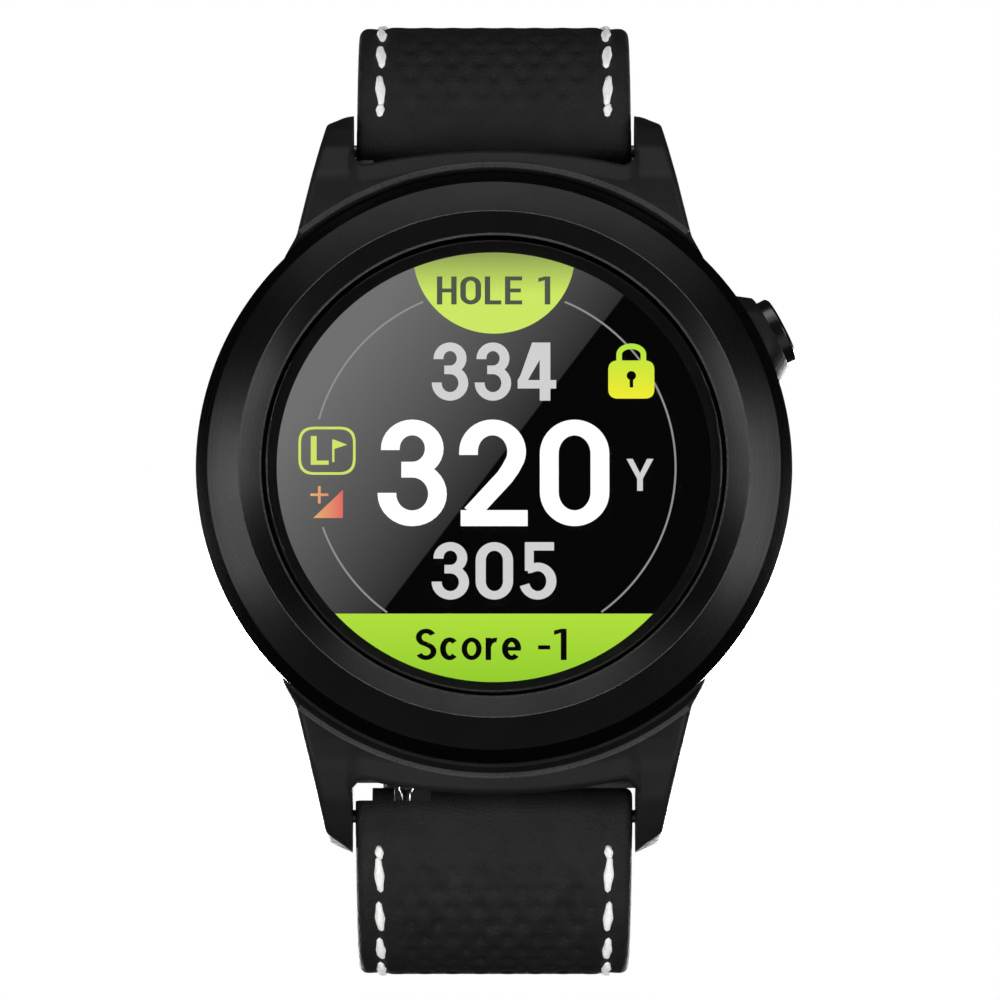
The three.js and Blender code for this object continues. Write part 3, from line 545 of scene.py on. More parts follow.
def case():
    """Drum, lugs, lands and guard in one piece, with the wells and holes cut through them."""
    drum = [(15.2, 1.3), (18.5, 1.3), (18.5, 0.36, 0.1), (20.6, 0.3, 0.8), (22.2, 1.2, 1.0),
            (CASE_RADIUS, 2.4, 1.2), (CASE_RADIUS, CASE_TOP_Z, 0.25), (20.7, CASE_TOP_Z), (20.7, 8.1),
            (19.4, 8.1), (19.4, 3.0), (15.2, 3.0)]
    body = lathe("case", rounded(drum, 5), 288)
    recess = [(0, CASE_TOP_Z), (23.16, CASE_TOP_Z), (23.2, CASE_TOP_Z + 0.04), (23.62, 9.87), (23.72, 9.93),
              (23.9, 9.97), (23.9, 12), (0, 12)]
    inside = [(0, -1.0), (20.0, -1.0), (20.0, 8.08), (20.9, 8.08), (20.9, 12.0), (0, 12.0)]
    for piece in [lug(hand, sign) for hand in (-1, 1) for sign in (-1, 1)] + [land(1), land(-1)]:
        boolean(piece, lathe("recess", recess, 288))
        boolean(piece, lathe("inside", inside, 96))
        boolean(body, piece, "UNION")
    collar = guard()
    boolean(collar, lathe("inside", inside, 96))
    boolean(body, collar, "UNION")
    well = [(0, 17.0), (STEM_BORE, 17.0), (STEM_BORE, WELL_FLOOR), (WELL_RADIUS, WELL_FLOOR), (WELL_RADIUS, 26.0),
            (0, 26.0)]
    boolean(body, lathe("pusher_well", well, 96, 40, along_pusher))
    for hand in (-1, 1):
        x0, x1 = sorted((hand * 10.4, hand * 12.15))
        for sign in (-1, 1):
            boolean(body, rod_x("hole", 0.62, x0, x1, sign * BAR_Y, BAR_Z, 32))
    tidy(body, 32)
    paint(body, CASE, "case_resin", "watch", "case_body")
    shoulder_rims()


# --- Bezel, glass and display ---


def repaint(obj, material, chosen):
    """Give a second material to the faces for which chosen(radius, height) is true."""
    obj.data.materials.append(material)
    for face in obj.data.polygons:
        radius = hypot(face.center.x, face.center.z) * 1e3
        if chosen(radius, -face.center.y * 1e3):
            face.material_index = 1


def bezel():
    outline = rounded(
        [(LIP_RADIUS, 10.3), (16.95, 10.3), (16.95, 9.66), (19.4, 9.66), (19.4, 8.2), (20.55, 8.2), (20.55, 9.66),
         (22.55, 9.66, 0.05), (22.9, 9.98, 0.1), (23.0, 10.35, 0.12), (23.0, 10.82, 0.16), (22.12, 12.08, 0.14),
         (RIDGE_RADIUS, RIDGE_Z, 0.10), (18.06, 12.22, 0.14), (LIP_RADIUS, 12.05, 0.10)], 6)
    ring = lathe("bezel_ring", outline, 360, 30)
    paint(ring, BEZEL, "bezel_metal", "watch", "bezel")
    # The crest and the inner lip get a lighter, non-metallic colour: a painted highlight along these edges.
    repaint(ring, BEZEL_EDGE_HIGHLIGHT, lambda radius, height: height > 11.9 and (
        abs(radius - RIDGE_RADIUS) < 0.06 or abs(radius - LIP_RADIUS - 0.15) < 0.09))


def lens():
    outline = rounded([(0, GLASS_BOTTOM_Z), (GLASS_RADIUS, GLASS_BOTTOM_Z, 0.05),
                       (GLASS_RADIUS, GLASS_TOP_Z, 0.22), (0, GLASS_TOP_Z)], 5)
    glass = lathe("cover_glass", outline, 256, 30)
    n = Nodes("cover_glass")
    n.set(Base_Color=(1, 1, 1, 1), IOR=1.52, Transmission_Weight=1.0)
    smudge = n.noise(14.0, 3)
    n.feed("Roughness", n.ramp(smudge, 0.0, 0.03, 0.45, 0.9))
    paint(glass, n.material, "glass", "watch", "lens")
    # The rim of the glass is printed black.
    repaint(glass, PRINT, lambda radius, height: radius > GLASS_RADIUS - 0.03)


def border():
    """The black print round the edge of the glass."""
    low, high = GLASS_BOTTOM_Z - 0.09, GLASS_BOTTOM_Z - 0.04
    outer = GLASS_RADIUS - 0.05
    ring = lathe("glass_border", [(SCREEN_RADIUS, low), (outer, low), (outer, high), (SCREEN_RADIUS, high)], 256)
    return paint(ring, PRINT, "glass", "watch", "lens_gasket")


# --- The picture on the display, in thin plates over a dark panel ---

PLATE_GAP = 0.004
PLATE_THICKNESS = 0.004
LAYER_STEP = 0.010
PEN_X = 0.088
PEN_Y = 0.074
LETTER_GAP = 0.115
PICTURE_RADIUS = 16.7


def plate(name, outline, layer, material, hole=None):
    """A thin plate of the picture; a higher layer covers a lower one.

    hole is the outline of an opening, with as many points as outline."""
    low = DISPLAY_TOP_Z + PLATE_GAP + LAYER_STEP * layer
    high = low + PLATE_THICKNESS
    loops = [[(x, y, low) for x, y in outline], [(x, y, high) for x, y in outline]]
    if hole:
        loops += [[(x, y, high) for x, y in hole], [(x, y, low) for x, y in hole]]
        loops += loops[:1]
    obj = swept(name, loops, 20, close_ends=not hole)
    return paint(obj, material, "display", "watch", "display_panel")


def arc(cx, cy, rx, ry, start, end, steps=24):
    """Points of an elliptic arc, angles in degrees."""
    turns = [radians(start + (end - start) * k / steps) for k in range(steps + 1)]
    return [(cx + rx * cos(t), cy + ry * sin(t)) for t in turns]


def stroke(path, half_x, half_y):
    """The outline of a pen stroke: half_x wide where it runs upright, half_y where it runs level."""
    left, right = [], []
    for i, here in enumerate(path):
        back = path[max(i - 1, 0)]
        ahead = path[min(i + 1, len(path) - 1)]
        dx, dy = ahead[0] - back[0], ahead[1] - back[1]
        length = hypot(dx, dy) or 1.0
        nx, ny = -dy / length * half_x, dx / length * half_y
        left.append((here[0] + nx, here[1] + ny))
        right.append((here[0] - nx, here[1] - ny))
    return left + right[::-1]


def pen(*path):
    return stroke(path, PEN_X, PEN_Y)


def bar(x0, x1, y0, y1):
    return [(x0, y0), (x1, y0), (x1, y1), (x0, y1)]


def stadium(rx, ry):
    """The outline of a round-ended upright letter O of half-width rx."""
    return arc(0.327, 0.68, rx, ry, 0, 180) + arc(0.327, 0.32, rx, ry, 180, 360)


# The width of each letter that is one unit high, and its outlines; a pair is an outline with its opening.
ROUND = (0.655, [(stadium(0.327, 0.32), stadium(0.15, 0.172))])
GLYPHS = {
    "0": ROUND,
    "O": ROUND,
    "3": (0.653, [pen((0.12, 0.714), *arc(0.327, 0.7285, 0.207, 0.1985, 180, -90), (0.224, 0.53)),
                  pen((0.224, 0.53), *arc(0.3265, 0.3015, 0.238, 0.2285, 90, -180), (0.0885, 0.312))]),
    "2": (0.645, [pen((0.0885, 0.668), *arc(0.315, 0.70, 0.2265, 0.227, 180, -20), (0.485, 0.54), (0.43, 0.46),
                      (0.115, 0.12)),
                  bar(0.015, 0.645, 0.0, 0.15)]),
    "5": (0.64, [bar(0.09, 0.60, 0.855, 1.0), bar(0.09, 0.245, 0.50, 1.0),
                 pen((0.135, 0.53), *arc(0.315, 0.3215, 0.238, 0.2485, 118, -165))]),
    "4": (0.69, [bar(0.395, 0.585, 0.0, 1.0), bar(0.0, 0.69, 0.209, 0.354),
                 [(0.26, 1.0), (0.42, 1.0), (0.42, 0.745), (0.185, 0.354), (0.0, 0.354), (0.0, 0.30)]]),
    "1": (0.40, [bar(0.20, 0.375, 0.0, 1.0), [(0.0, 0.80), (0.0, 0.94), (0.21, 1.0), (0.21, 0.87)]]),
    "Y": (0.81, [[(0.0, 1.0), (0.19, 1.0), (0.43, 0.50), (0.43, 0.36), (0.33, 0.36)],
                 [(0.81, 1.0), (0.62, 1.0), (0.38, 0.50), (0.38, 0.36), (0.48, 0.36)],
                 bar(0.32, 0.49, 0.0, 0.40)]),
    "H": (0.62, [bar(0.0, 0.17, 0, 1), bar(0.45, 0.62, 0, 1), bar(0.15, 0.47, 0.43, 0.57)]),
    "L": (0.52, [bar(0.0, 0.17, 0, 1), bar(0.0, 0.52, 0, 0.145)]),
    "E": (0.54, [bar(0.0, 0.17, 0, 1), bar(0.0, 0.54, 0, 0.145), bar(0.0, 0.5, 0.43, 0.57),
                 bar(0.0, 0.54, 0.855, 1)]),
    "S": (0.62, [pen(*arc(0.31, 0.725, 0.215, 0.2, 25, 180), *arc(0.31, 0.725, 0.215, 0.2, 180, 245, 8)[1:],
                     (0.36, 0.487)),
                 pen((0.36, 0.487), *arc(0.31, 0.275, 0.225, 0.2, 60, -155))]),
    "c": (0.52, [pen(*arc(0.28, 0.36, 0.2, 0.29, 45, 315))]),
    "o": (0.6, [(arc(0.3, 0.36, 0.3, 0.36, 0, 350, 35), arc(0.3, 0.36, 0.135, 0.22, 0, 350, 35))]),
    "r": (0.38, [bar(0.0, 0.165, 0, 0.71), pen(*arc(0.30, 0.40, 0.215, 0.24, 170, 80))]),
    "e": (0.56, [pen(*arc(0.28, 0.36, 0.2, 0.29, 0, 315)), bar(0.12, 0.56, 0.30, 0.42)]),
    "-": (0.36, [bar(0.0, 0.36, 0.34, 0.47)]),
    " ": (0.28, []),
}


def write(name, text, x0, x1, y0, y1, material, layer=4):
    """Letters that fill the box from x0 to x1 and from y0 to y1."""
    letters = [GLYPHS[letter] for letter in text]
    total = sum(wide for wide, _ in letters) + LETTER_GAP * (len(letters) - 1)
    step = (x1 - x0) / total
    left = x0
    for i, (wide, outlines) in enumerate(letters):
        for k, shape in enumerate(outlines):
            loops = shape if isinstance(shape, tuple) else (shape,)
            placed = [[(left + x * step, y0 + y * (y1 - y0)) for x, y in loop] for loop in loops]
            hole = placed[1] if len(placed) > 1 else None
            plate(f"{name}_{i + 1}_{k + 1}", placed[0], layer + 0.12 * k, material, hole)
        left += (wide + LETTER_GAP) * step


def band_arc(radius, start, end, width=0.15):
    outer = arc(0, 0, radius + width / 2, radius + width / 2, start, end, 72)
    inner = arc(0, 0, radius - width / 2, radius - width / 2, start, end, 72)
    return outer + inner[::-1]


def pill(x0, x1, y0, y1, corner):
    """A rectangle with rounded corners."""
    return rounded([(x, y, corner) for x, y in bar(x0, x1, y0, y1)], 8)


def screen_ground_and_glare():
    """The dark face of the screen, with a painted reflection: a soft grey glare that glows over its upper left.
    """
    n = Nodes("screen_ground_and_glare")
    n.set(Base_Color=(0.002, 0.002, 0.002, 1), Roughness=0.3, Emission_Strength=1.0, Specular_IOR_Level=0.0)
    x, _, z = n.axes()
    # Distance to the upper left of the line from (9.96, 13.3) to (-8.3, -10.9).
    distance = n.calc("ADD", n.calc("MULTIPLY", x, -0.798), n.calc("MULTIPLY", z, 0.602))
    # Painted reflection: grey emission that brightens with distance to the upper left of the line and fades to
    # black just below it.
    painted_glare = n.ramp(n.span(distance, 0.0, 15.5), 0.028, 0.175, 0.0, 0.95)
    mixed = n.add("ShaderNodeMix", data_type="RGBA")
    n.link(n.span(distance, 0.02, 0.12), mixed.inputs["Factor"])
    mixed.inputs[6].default_value = (0.0004, 0.0004, 0.0004, 1)
    n.link(painted_glare, mixed.inputs[7])
    n.feed("Emission Color", mixed.outputs[2])
    plate("screen_ground_and_glare", arc(0, 0, SCREEN_RADIUS, SCREEN_RADIUS, 0, 358, 179), 0, n.material)


def picture():
    """Yardages, badge, score field, lock and icons."""
    white = lit("screen_white", (1.0, 1.0, 1.0), 1.15)
    grey = lit("screen_grey", (0.70, 0.70, 0.70), 1.0)
    line = lit("screen_line", (0.30, 0.30, 0.30), 1.0)
    ink = lit("screen_ink", (0.085, 0.105, 0.075), 1.0)
    black = lit("screen_black", (0.001, 0.001, 0.001), 1.0)
    badge = lit("screen_badge", (0.66, 0.87, 0.14), 1.0, (0.31, 0.40, 0.10), "Z", 13.5, 16.5)
    segment = lit("screen_segment", (0.32, 0.66, 0.03), 1.0, (0.47, 0.80, 0.05), "Z", -16.7, -11.4)
    lime = lit("screen_lime", (0.68, 0.86, 0.16), 1.0)
    gold = lit("screen_lock", (0.93, 0.90, 0.035), 1.0, (0.45, 0.86, 0.06), "Z", 5.5, 9.8)
    orange = lit("screen_orange", (0.86, 0.50, 0.19), 1.0, (0.82, 0.14, 0.14), "X", -14.2, -11.5)

    screen_ground_and_glare()
    edge = PICTURE_RADIUS
    heading = [p for p in arc(0, 16.62, 6.24, 6.24, 180, 360, 96) if hypot(*p) < edge]
    start, end = (degrees(atan2(p[1], p[0])) for p in (heading[-1], heading[0]))
    plate("badge", heading + arc(0, 0, edge, edge, start, end, 40), 2, badge)
    dip = degrees(asin(11.4 / edge))
    plate("score_field", arc(0, 0, edge, edge, 180 + dip, 360 - dip, 72), 2, segment)
    for i, (a, b) in enumerate([(113, 164.6), (199.6, 234.0), (-53.8, 67)]):
        plate(f"ring_{i + 1}", band_arc(13.97, a, b), 1, line)

    write("hole", "HOLE 1", -4.4, 4.4, 12.65, 14.84, ink)
    write("far", "334", -4.79, 4.79, 5.15, 9.68, grey)
    write("middle", "320", -8.96, 8.88, -4.61, 3.67, white)
    write("near", "305", -4.79, 4.79, -10.31, -5.86, grey)
    write("unit", "Y", 10.19, 12.27, -1.87, 0.62, grey)
    write("score", "Score -1", -6.02, 5.64, -15.0, -12.57, black)

    plate("lock_body", pill(8.80, 12.35, 5.31, 8.28, 0.75), 3, gold)
    hasp = [(9.64, 8.1), (9.64, 8.75), *arc(10.575, 8.75, 0.935, 0.64, 180, 0, 24), (11.51, 8.1)]
    plate("lock_hasp", stroke(hasp, 0.215, 0.215), 2.4, gold)
    plate("lock_keyhole", arc(10.58, 7.1, 0.36, 0.36, 0, 350, 30), 4, black)
    plate("lock_slot", pill(10.44, 10.72, 6.17, 7.0, 0.1), 4.2, black)

    icon_opening = pill(-14.85, -10.85, -0.42, 2.92, 1.05)
    plate("icon_frame", pill(-15.05, -10.65, -0.62, 3.12, 1.2), 3, lime, icon_opening)
    write("icon", "L", -14.1, -12.72, 0.16, 2.4, lime, 3)
    plate("icon_pole", bar(-12.45, -12.28, 0.37, 2.1), 3, lime)
    plate("icon_flag", [(-12.42, 1.35), (-11.3, 1.72), (-12.42, 2.16)], 3.2, lime)
    plate("plus_level", bar(-14.12, -12.74, -2.27, -2.07), 3, orange)
    plate("plus_upright", bar(-13.54, -13.33, -2.85, -1.5), 3.2, orange)
    plate("slope_mark", [(-13.9, -3.98), (-11.62, -3.98), (-11.62, -1.78)], 3, orange)


def display_stack():
    n = Nodes("panel_black")
    n.set(Roughness=0.22)
    n.feed("Base Color", n.ramp(n.noise(2.0), (0.006, 0.006, 0.007), (0.010, 0.010, 0.011)))
    outline = rounded([(0, 9.7), (DISPLAY_RADIUS, 9.7, 0.08), (DISPLAY_RADIUS, DISPLAY_TOP_Z, 0.05),
                       (0, DISPLAY_TOP_Z)], 4)
    panel = lathe("display_panel_body", outline, 192, 30)
    paint(panel, n.material, "display", "watch", "display_panel")
    picture()


# --- Strap: both halves, their linings, stitches and keepers ---

STITCH_INSET = 1.8
STITCH_PITCH = 3.1
STITCH_LENGTH = 2.5
DIMPLE_ACROSS = 2.15
DIMPLE_ALONG = 1.3
DIMPLE_DEPTH = 0.26
DIMPLE_MARGIN = 2.8
MARGIN_DROP = 0.10


def station(s):
    """(turn, y, z) of the strap's middle line at a distance s from its spring bar."""
    bend = BEND_RADIUS * (BEND_END - BEND_START)

    def along(start, radius, distance, y, z):
        turn = start + distance / radius
        y += radius * (sin(turn) - sin(start))
        z += radius * (cos(turn) - cos(start))
        return turn, y, z

    if s <= bend:
        return along(BEND_START, BEND_RADIUS, s, BAR_Y, BAR_Z)
    _, y, z = along(BEND_START, BEND_RADIUS, bend, BAR_Y, BAR_Z)
    return along(BEND_END, RUN_RADIUS, s - bend, y, z)


def thickness(s):
    return STRAP_THICKNESS + STRAP_SWELL * exp(-s / SWELL_FADE)


def width(s):
    return STRAP_WIDTH - (STRAP_WIDTH - STRAP_END_WIDTH) * min(s / TAPER_LENGTH, 1.0) ** 1.3


def no_narrowing(s):
    return 1.0


def tip_narrowing(s):
    if s <= LONG_LENGTH - TIP_LENGTH:
        return 1.0
    return sqrt(1 - 0.93 * ((s - LONG_LENGTH + TIP_LENGTH) / TIP_LENGTH) ** 2)


def on_strap(sign, x, s, h, along=0.0):
    """A bench point from x across, s along and h out of the strap's middle; along goes on straight from s."""
    turn, y, z = station(s)
    y += h * sin(turn) + along * cos(turn)
    z += h * cos(turn) - along * sin(turn)
    return (x, sign * y, z)


def surface(x, s, half, length):
    """How far the skin's face lies under its full height: margins, stitch lines and dimples."""
    inset = half - abs(x)
    drop = MARGIN_DROP * clamp((2.6 - inset) / 1.2)
    drop += 0.12 * exp(-((inset - STITCH_INSET) / 0.42) ** 2)
    first, last = 1.0, length - 7.0
    if inset > DIMPLE_MARGIN and first < s < last:
        edge = min((inset - DIMPLE_MARGIN) / 0.8, (s - first) / 2.0, (last - s) / 2.0, 1.0)
        row = round(s / DIMPLE_ALONG)
        shift = DIMPLE_ACROSS / 2 if row % 2 else 0.0
        column = round((x - shift) / DIMPLE_ACROSS)
        dx, ds = x - shift - column * DIMPLE_ACROSS, s - row * DIMPLE_ALONG
        drop += DIMPLE_DEPTH * edge * exp(-(dx / 0.46) ** 2 - (ds / 0.40) ** 2)
    return drop


def corner_arc(x, h, radius, first):
    """The inner points of a quarter turn about (x, h), clockwise from the angle first."""
    turns = [radians(first - 90 * k / 8) for k in range(1, 8)]
    return [(x + radius * cos(t), h + radius * sin(t)) for t in turns]


def band(name, sign, start, end, half_width, top, bottom, corner, relief=None, pitch=0.26, columns=96):
    """A solid swept along the strap with rounded edges; relief(x, s, half) lowers its top."""
    rows = []
    count = max(2, int((end - start) / pitch))
    places = [start + (end - start) * (k / count) for k in range(count + 1)]
    # Rows close up at the far end of the long half, where the tip rounds off.
    if end > LONG_LENGTH - 2:
        places += [end - 0.9 * 0.75 ** k for k in range(1, 12)]
    for s in sorted(set(round(p, 4) for p in places)):
        half = half_width(s)
        high, low = top(s), bottom(s)
        ends = min(1.0, 0.3 + (s - start + 0.001) / 0.4, 0.3 + (end - s + 0.001) / 0.4)
        r = min(corner, 0.45 * (high - low))
        ease = (1 - ends) * 0.5 * r
        flat = half - r
        row = []
        for k in range(columns + 1):
            x = -flat + 2 * flat * k / columns
            row.append((x, high - ease - (relief(x, s, half) if relief else 0.0)))
        upper = high - ease - MARGIN_DROP * bool(relief) - r
        lower = low + ease + r
        row += corner_arc(flat, upper, r, 90) + corner_arc(flat, lower, r, 0)
        row += [(flat - 2 * flat * k / 8, low + ease) for k in range(9)]
        row += corner_arc(-flat, lower, r, -90) + corner_arc(-flat, upper, r, 180)
        rows.append([on_strap(sign, x, s, h) for x, h in row])
    return swept(name, rows, 50)


def cross_rod(name, radius, half, sign, s, corner, segments=64):
    """A rod across the strap at s, with rounded ends."""
    profile = [(0, -half)] + [(radius - corner + corner * cos(t), -half + corner + corner * sin(t))
                              for t in np.linspace(-pi / 2, 0, 7)]
    profile += [(r, -h) for r, h in reversed(profile)]
    rows = []
    for k in range(segments + 1):
        turn = 2 * pi * k / segments
        rows.append([on_strap(sign, x, s, r * sin(turn), r * cos(turn)) for r, x in profile])
    return swept(name, rows, 50, close_ends=False, loop=False)


def joined(name, pieces):
    """One object from pieces that don't touch."""
    bpy.ops.object.select_all(action="DESELECT")
    for piece in pieces:
        piece.select_set(True)
    bpy.context.view_layer.objects.active = pieces[0]
    bpy.ops.object.join()
    pieces[0].name = name
    return pieces[0]


def strap_skin(name, sign, length, lining_end, narrowing):
    """The outer leather of one half, looped round its spring bar."""
    def top(s):
        return thickness(s) / 2

    def under(s):
        share = clamp((s - 4.25) / 0.15) * clamp((lining_end + 0.3 - s) / 0.3)
        return -thickness(s) / 2 + (LINING + 0.05) * share

    def half_width(s):
        return width(s) / 2 * narrowing(s)

    skin = band(name, sign, 0.0, length, half_width, top, under, 0.7,
                lambda x, s, half: surface(x, s, half, length))
    boolean(skin, cross_rod("loop", LOOP_RADIUS, STRAP_WIDTH / 2, sign, 0.0, 0.6), "UNION")
    # A notch for the lug's inside and the release knob's window, with a cut below it.
    low, high = sorted((sign * (BAR_Y - 4), sign * (BAR_Y - 1.0)))
    tools = [box_mesh("notch", -12, -9.4, low, high, -1, 6), box_mesh("window", -7.7, -4.9, low, high, -1, 6)]
    boolean(skin, joined("openings", tools))
    low, high = sorted((sign * (BAR_Y - 1.2), sign * BAR_Y))
    boolean(skin, box_mesh("below", -7.7, -4.9, low, high, -1, 3.3))
    boolean(skin, rod_x("bar_hole", 1.05, -12, 12, sign * BAR_Y, BAR_Z))
    return skin


def strap_lining(name, sign, end, narrowing):
    return band(name, sign, 4.5, end, lambda s: (width(s) / 2 - 0.25) * narrowing(s),
                lambda s: -thickness(s) / 2 + LINING, lambda s: -thickness(s) / 2, 0.3, None, 0.6, 24)


def stitches(name, sign, first, last, narrowing, body):
    """Rows of twisted thread along both edges, over the skin and under the lining."""
    points, faces = [], []

    def capsule(s, x, up, lean, length, radius):
        rows = []
        for i in range(13):
            t = -1 + 2 * i / 12
            swell = sqrt(max(0.0, 1 - abs(t) ** 3.2)) * radius
            arch = 0.12 * (1 - t * t)
            place = s + t * length / 2
            row = []
            for k in range(12):
                a = 2 * pi * k / 12
                r = swell * (1 + 0.16 * cos(2 * a + 5.5 * t)) + 0.004
                if up:
                    height = thickness(place) / 2 - 0.20 + arch + 0.62 * r * sin(a)
                else:
                    height = -thickness(place) / 2 + 0.10 - 0.5 * arch + 0.4 * r * sin(a)
                row.append(on_strap(sign, x + lean * t + r * cos(a), place, height))
            rows.append(row)
        base = len(points)
        extra, more = skin_rows(rows)
        points.extend(extra)
        faces.extend(tuple(v + base for v in face) for face in more)

    s = first
    while s + STITCH_LENGTH < last:
        centre = s + STITCH_LENGTH / 2
        for hand in (-1, 1):
            x = hand * (width(centre) / 2 * narrowing(centre) - STITCH_INSET)
            capsule(centre, x, True, 0.10 * hand * sign, STITCH_LENGTH, 0.34)
            if centre > 6.5:
                capsule(centre, x, False, -0.08 * hand, STITCH_LENGTH, 0.26)
            if s == first:
                capsule(s - 0.25, x, True, 0.05, 0.95, 0.30)
        s += STITCH_PITCH
    obj = make(name, points, faces, 60)
    return paint(obj, THREAD, "strap_skin", body)


def short_half():
    """The half at 12 o'clock, which ends in a loop with a slot for the buckle's tongue."""
    end = SHORT_LENGTH
    skin = strap_skin("strap_upper_skin", 1, end, end - 4, no_narrowing)
    boolean(skin, cross_rod("end_loop", 1.85, STRAP_END_WIDTH / 2 + 0.08, 1, end, 0.5), "UNION")
    boolean(skin, cross_rod("end_hole", 1.02, 12, 1, end, 0.1))
    boolean(skin, box_mesh("tongue_slot", -2.3, 2.3, -2.8, 4, -4, 4,
                           lambda p: on_strap(1, p[0], end, p[2], p[1])))
    tidy(skin, 50)
    paint(skin, SKIN, "strap_skin", "strap_12", "strap_12_skin")
    lining = strap_lining("strap_upper_lining", 1, end - 4.1, no_narrowing)
    paint(lining, BACKING, "strap_backing", "strap_12", "strap_12_lining")
    stitches("strap_upper_stitches", 1, 2.9, end - 4.5, no_narrowing, "strap_12")


def long_half():
    """The half at 6 o'clock, with its row of holes and its rounded tip."""
    skin = strap_skin("strap_lower_skin", -1, LONG_LENGTH, LONG_LENGTH + 5, tip_narrowing)
    lining = strap_lining("strap_lower_lining", -1, LONG_LENGTH - 0.5, tip_narrowing)
    circle = [(HOLE_RADIUS * cos(t), HOLE_RADIUS * sin(t)) for t in np.linspace(0, 2 * pi, 33)[:-1]]
    for obj in (skin, lining):
        tools = []
        for index in range(HOLE_COUNT):
            s = FIRST_HOLE + HOLE_PITCH * index
            tools.append(swept("punch", [[on_strap(-1, x, s, h, a) for x, a in circle] for h in (-4, 4)]))
        boolean(obj, joined("punches", tools))
        tidy(obj, 50)
    paint(skin, SKIN, "strap_skin", "strap_6", "strap_6_skin")
    paint(lining, BACKING, "strap_backing", "strap_6", "strap_6_lining")
    stitches("strap_lower_stitches", -1, 2.9, LONG_LENGTH - 5.5, tip_narrowing, "strap_6")


def keeper(name, s, side, below, body, node):
    """A hoop round the strap: a rounded band between an inner and an outer outline."""
    half = width(s) / 2 + side
    floor, ceiling = -thickness(s) / 2 - below, thickness(s) / 2 + 2.6
    wall = 1.1
    path_in = pill(-half, half, floor, ceiling, 0.35)
    path_out = pill(-half - wall, half + wall, floor - wall, ceiling + wall, 1.4)
    section = rounded([(-2.5, 0.0, 0.35), (2.5, 0.0, 0.35), (2.5, 1.0, 0.4), (-2.5, 1.0, 0.4)], 5)
    rows = []
    for inner, outer in zip(path_in, path_out):
        row = []
        for a, t in section:
            x = inner[0] + (outer[0] - inner[0]) * t
            h = inner[1] + (outer[1] - inner[1]) * t
            row.append(on_strap(1, x, s, h, a))
        rows.append(row)
    rows.append(rows[0])
    hoop = swept(name, rows, 50, close_ends=False)
    return paint(hoop, SKIN, "strap_skin", body, node)


# --- Buckle, spring bars, pusher and case back ---

KNOB_X = -6.8
SCREW_CIRCLE = 17.0
CONTACT_PITCH = 2.54
CONTACT_Y = -9.5


def soften(obj, millimetres, segments):
    """Round off the sharp edges."""
    step = obj.modifiers.new("soften", "BEVEL")
    step.width = millimetres * 1e-3
    step.segments = segments
    step.limit_method = "ANGLE"
    step.angle_limit = radians(30)
    apply_modifiers(obj)
    tidy(obj, 40)
    return obj


def prism_on_strap(name, outline, s, low, high):
    """A plate drawn in (x, along) at s, from height low to high."""
    return swept(name, [[on_strap(1, x, s, h, a) for x, a in outline] for h in (low, high)])


def buckle():
    """Frame, axle and tongue at the end of the short half."""
    s = SHORT_LENGTH
    ring = prism_on_strap("buckle_ring", pill(-11.6, 11.6, -1.7, 13.1, 1.6), s, -1.1, 1.1)
    boolean(ring, prism_on_strap("gap", pill(-9.75, 9.75, -4.0, 10.9, 0.6), s, -3, 3))
    soften(ring, 0.42, 4)
    boolean(ring, cross_rod("bar_hole", BUCKLE_BORE, 14, 1, s, 0.1))
    paint(ring, BUCKLE, "buckle_metal", "buckle", "buckle_frame")
    axle = cross_rod("buckle_axle", 0.85, 11.3, 1, s, 0.2)
    paint(axle, STEEL, "steel", "buckle", "buckle_bar")
    side = [(0, 1.0), (1.2, 1.2), (12.9, 1.2), (12.9, 1.9), (12.1, 2.1), (0, 1.72)]
    blade = swept("tongue_blade", [[on_strap(1, x, s, h, a) for a, h in side] for x in (-1.1, 1.1)])
    soften(blade, 0.22, 3)
    boolean(blade, cross_rod("eye", 1.75, 1.9, 1, s, 0.3), "UNION")
    boolean(blade, cross_rod("eye_hole", BUCKLE_BORE, 3, 1, s, 0.1))
    tidy(blade, 40)
    paint(blade, BUCKLE, "buckle_metal", "tongue", "buckle_tongue")


def spring_bar(clock, sign):
    """A bar with one fixed tip, and the sliding pin and knob that release it."""
    y = sign * BAR_Y
    tube = rod_x("bar_tube", 0.9, -9.9, 9.9, y, BAR_Z, 64, 0.12)
    boolean(tube, rod_x("bar_tip", 0.5, 9.4, 11.9, y, BAR_Z, 48, 0.12), "UNION")
    boolean(tube, rod_x("bore", 0.6, -10.9, -1.0, y, BAR_Z, 48))
    low, high = sorted((y, y - sign * 1.5))
    boolean(tube, box_mesh("slot", -7.25, -5.15, low, high, BAR_Z - 0.42, BAR_Z + 0.42))
    tidy(tube, 40)
    paint(tube, STEEL, "steel", f"strap_{clock}", f"spring_bar_{clock}")
    pin = rod_x("release_pin", 0.5, -11.9, -6.2, y, BAR_Z, 48, 0.12)
    neck = [(0.0, 0.0), (0.3, 0.0), (0.3, 1.75), (0.42, 1.85), (0.55, 2.1), (0.55, 2.35), (0.45, 2.6),
            (0.25, 2.74), (0.0, 2.75)]
    rows = [[(KNOB_X + r * cos(t), y - sign * h, BAR_Z + r * sin(t)) for r, h in neck]
            for t in np.linspace(0, 2 * pi, 41)]
    boolean(pin, swept("release_knob", rows, close_ends=False, loop=False), "UNION")
    tidy(pin, 40)
    paint(pin, STEEL, "steel", f"release_{clock}", f"release_pin_{clock}")


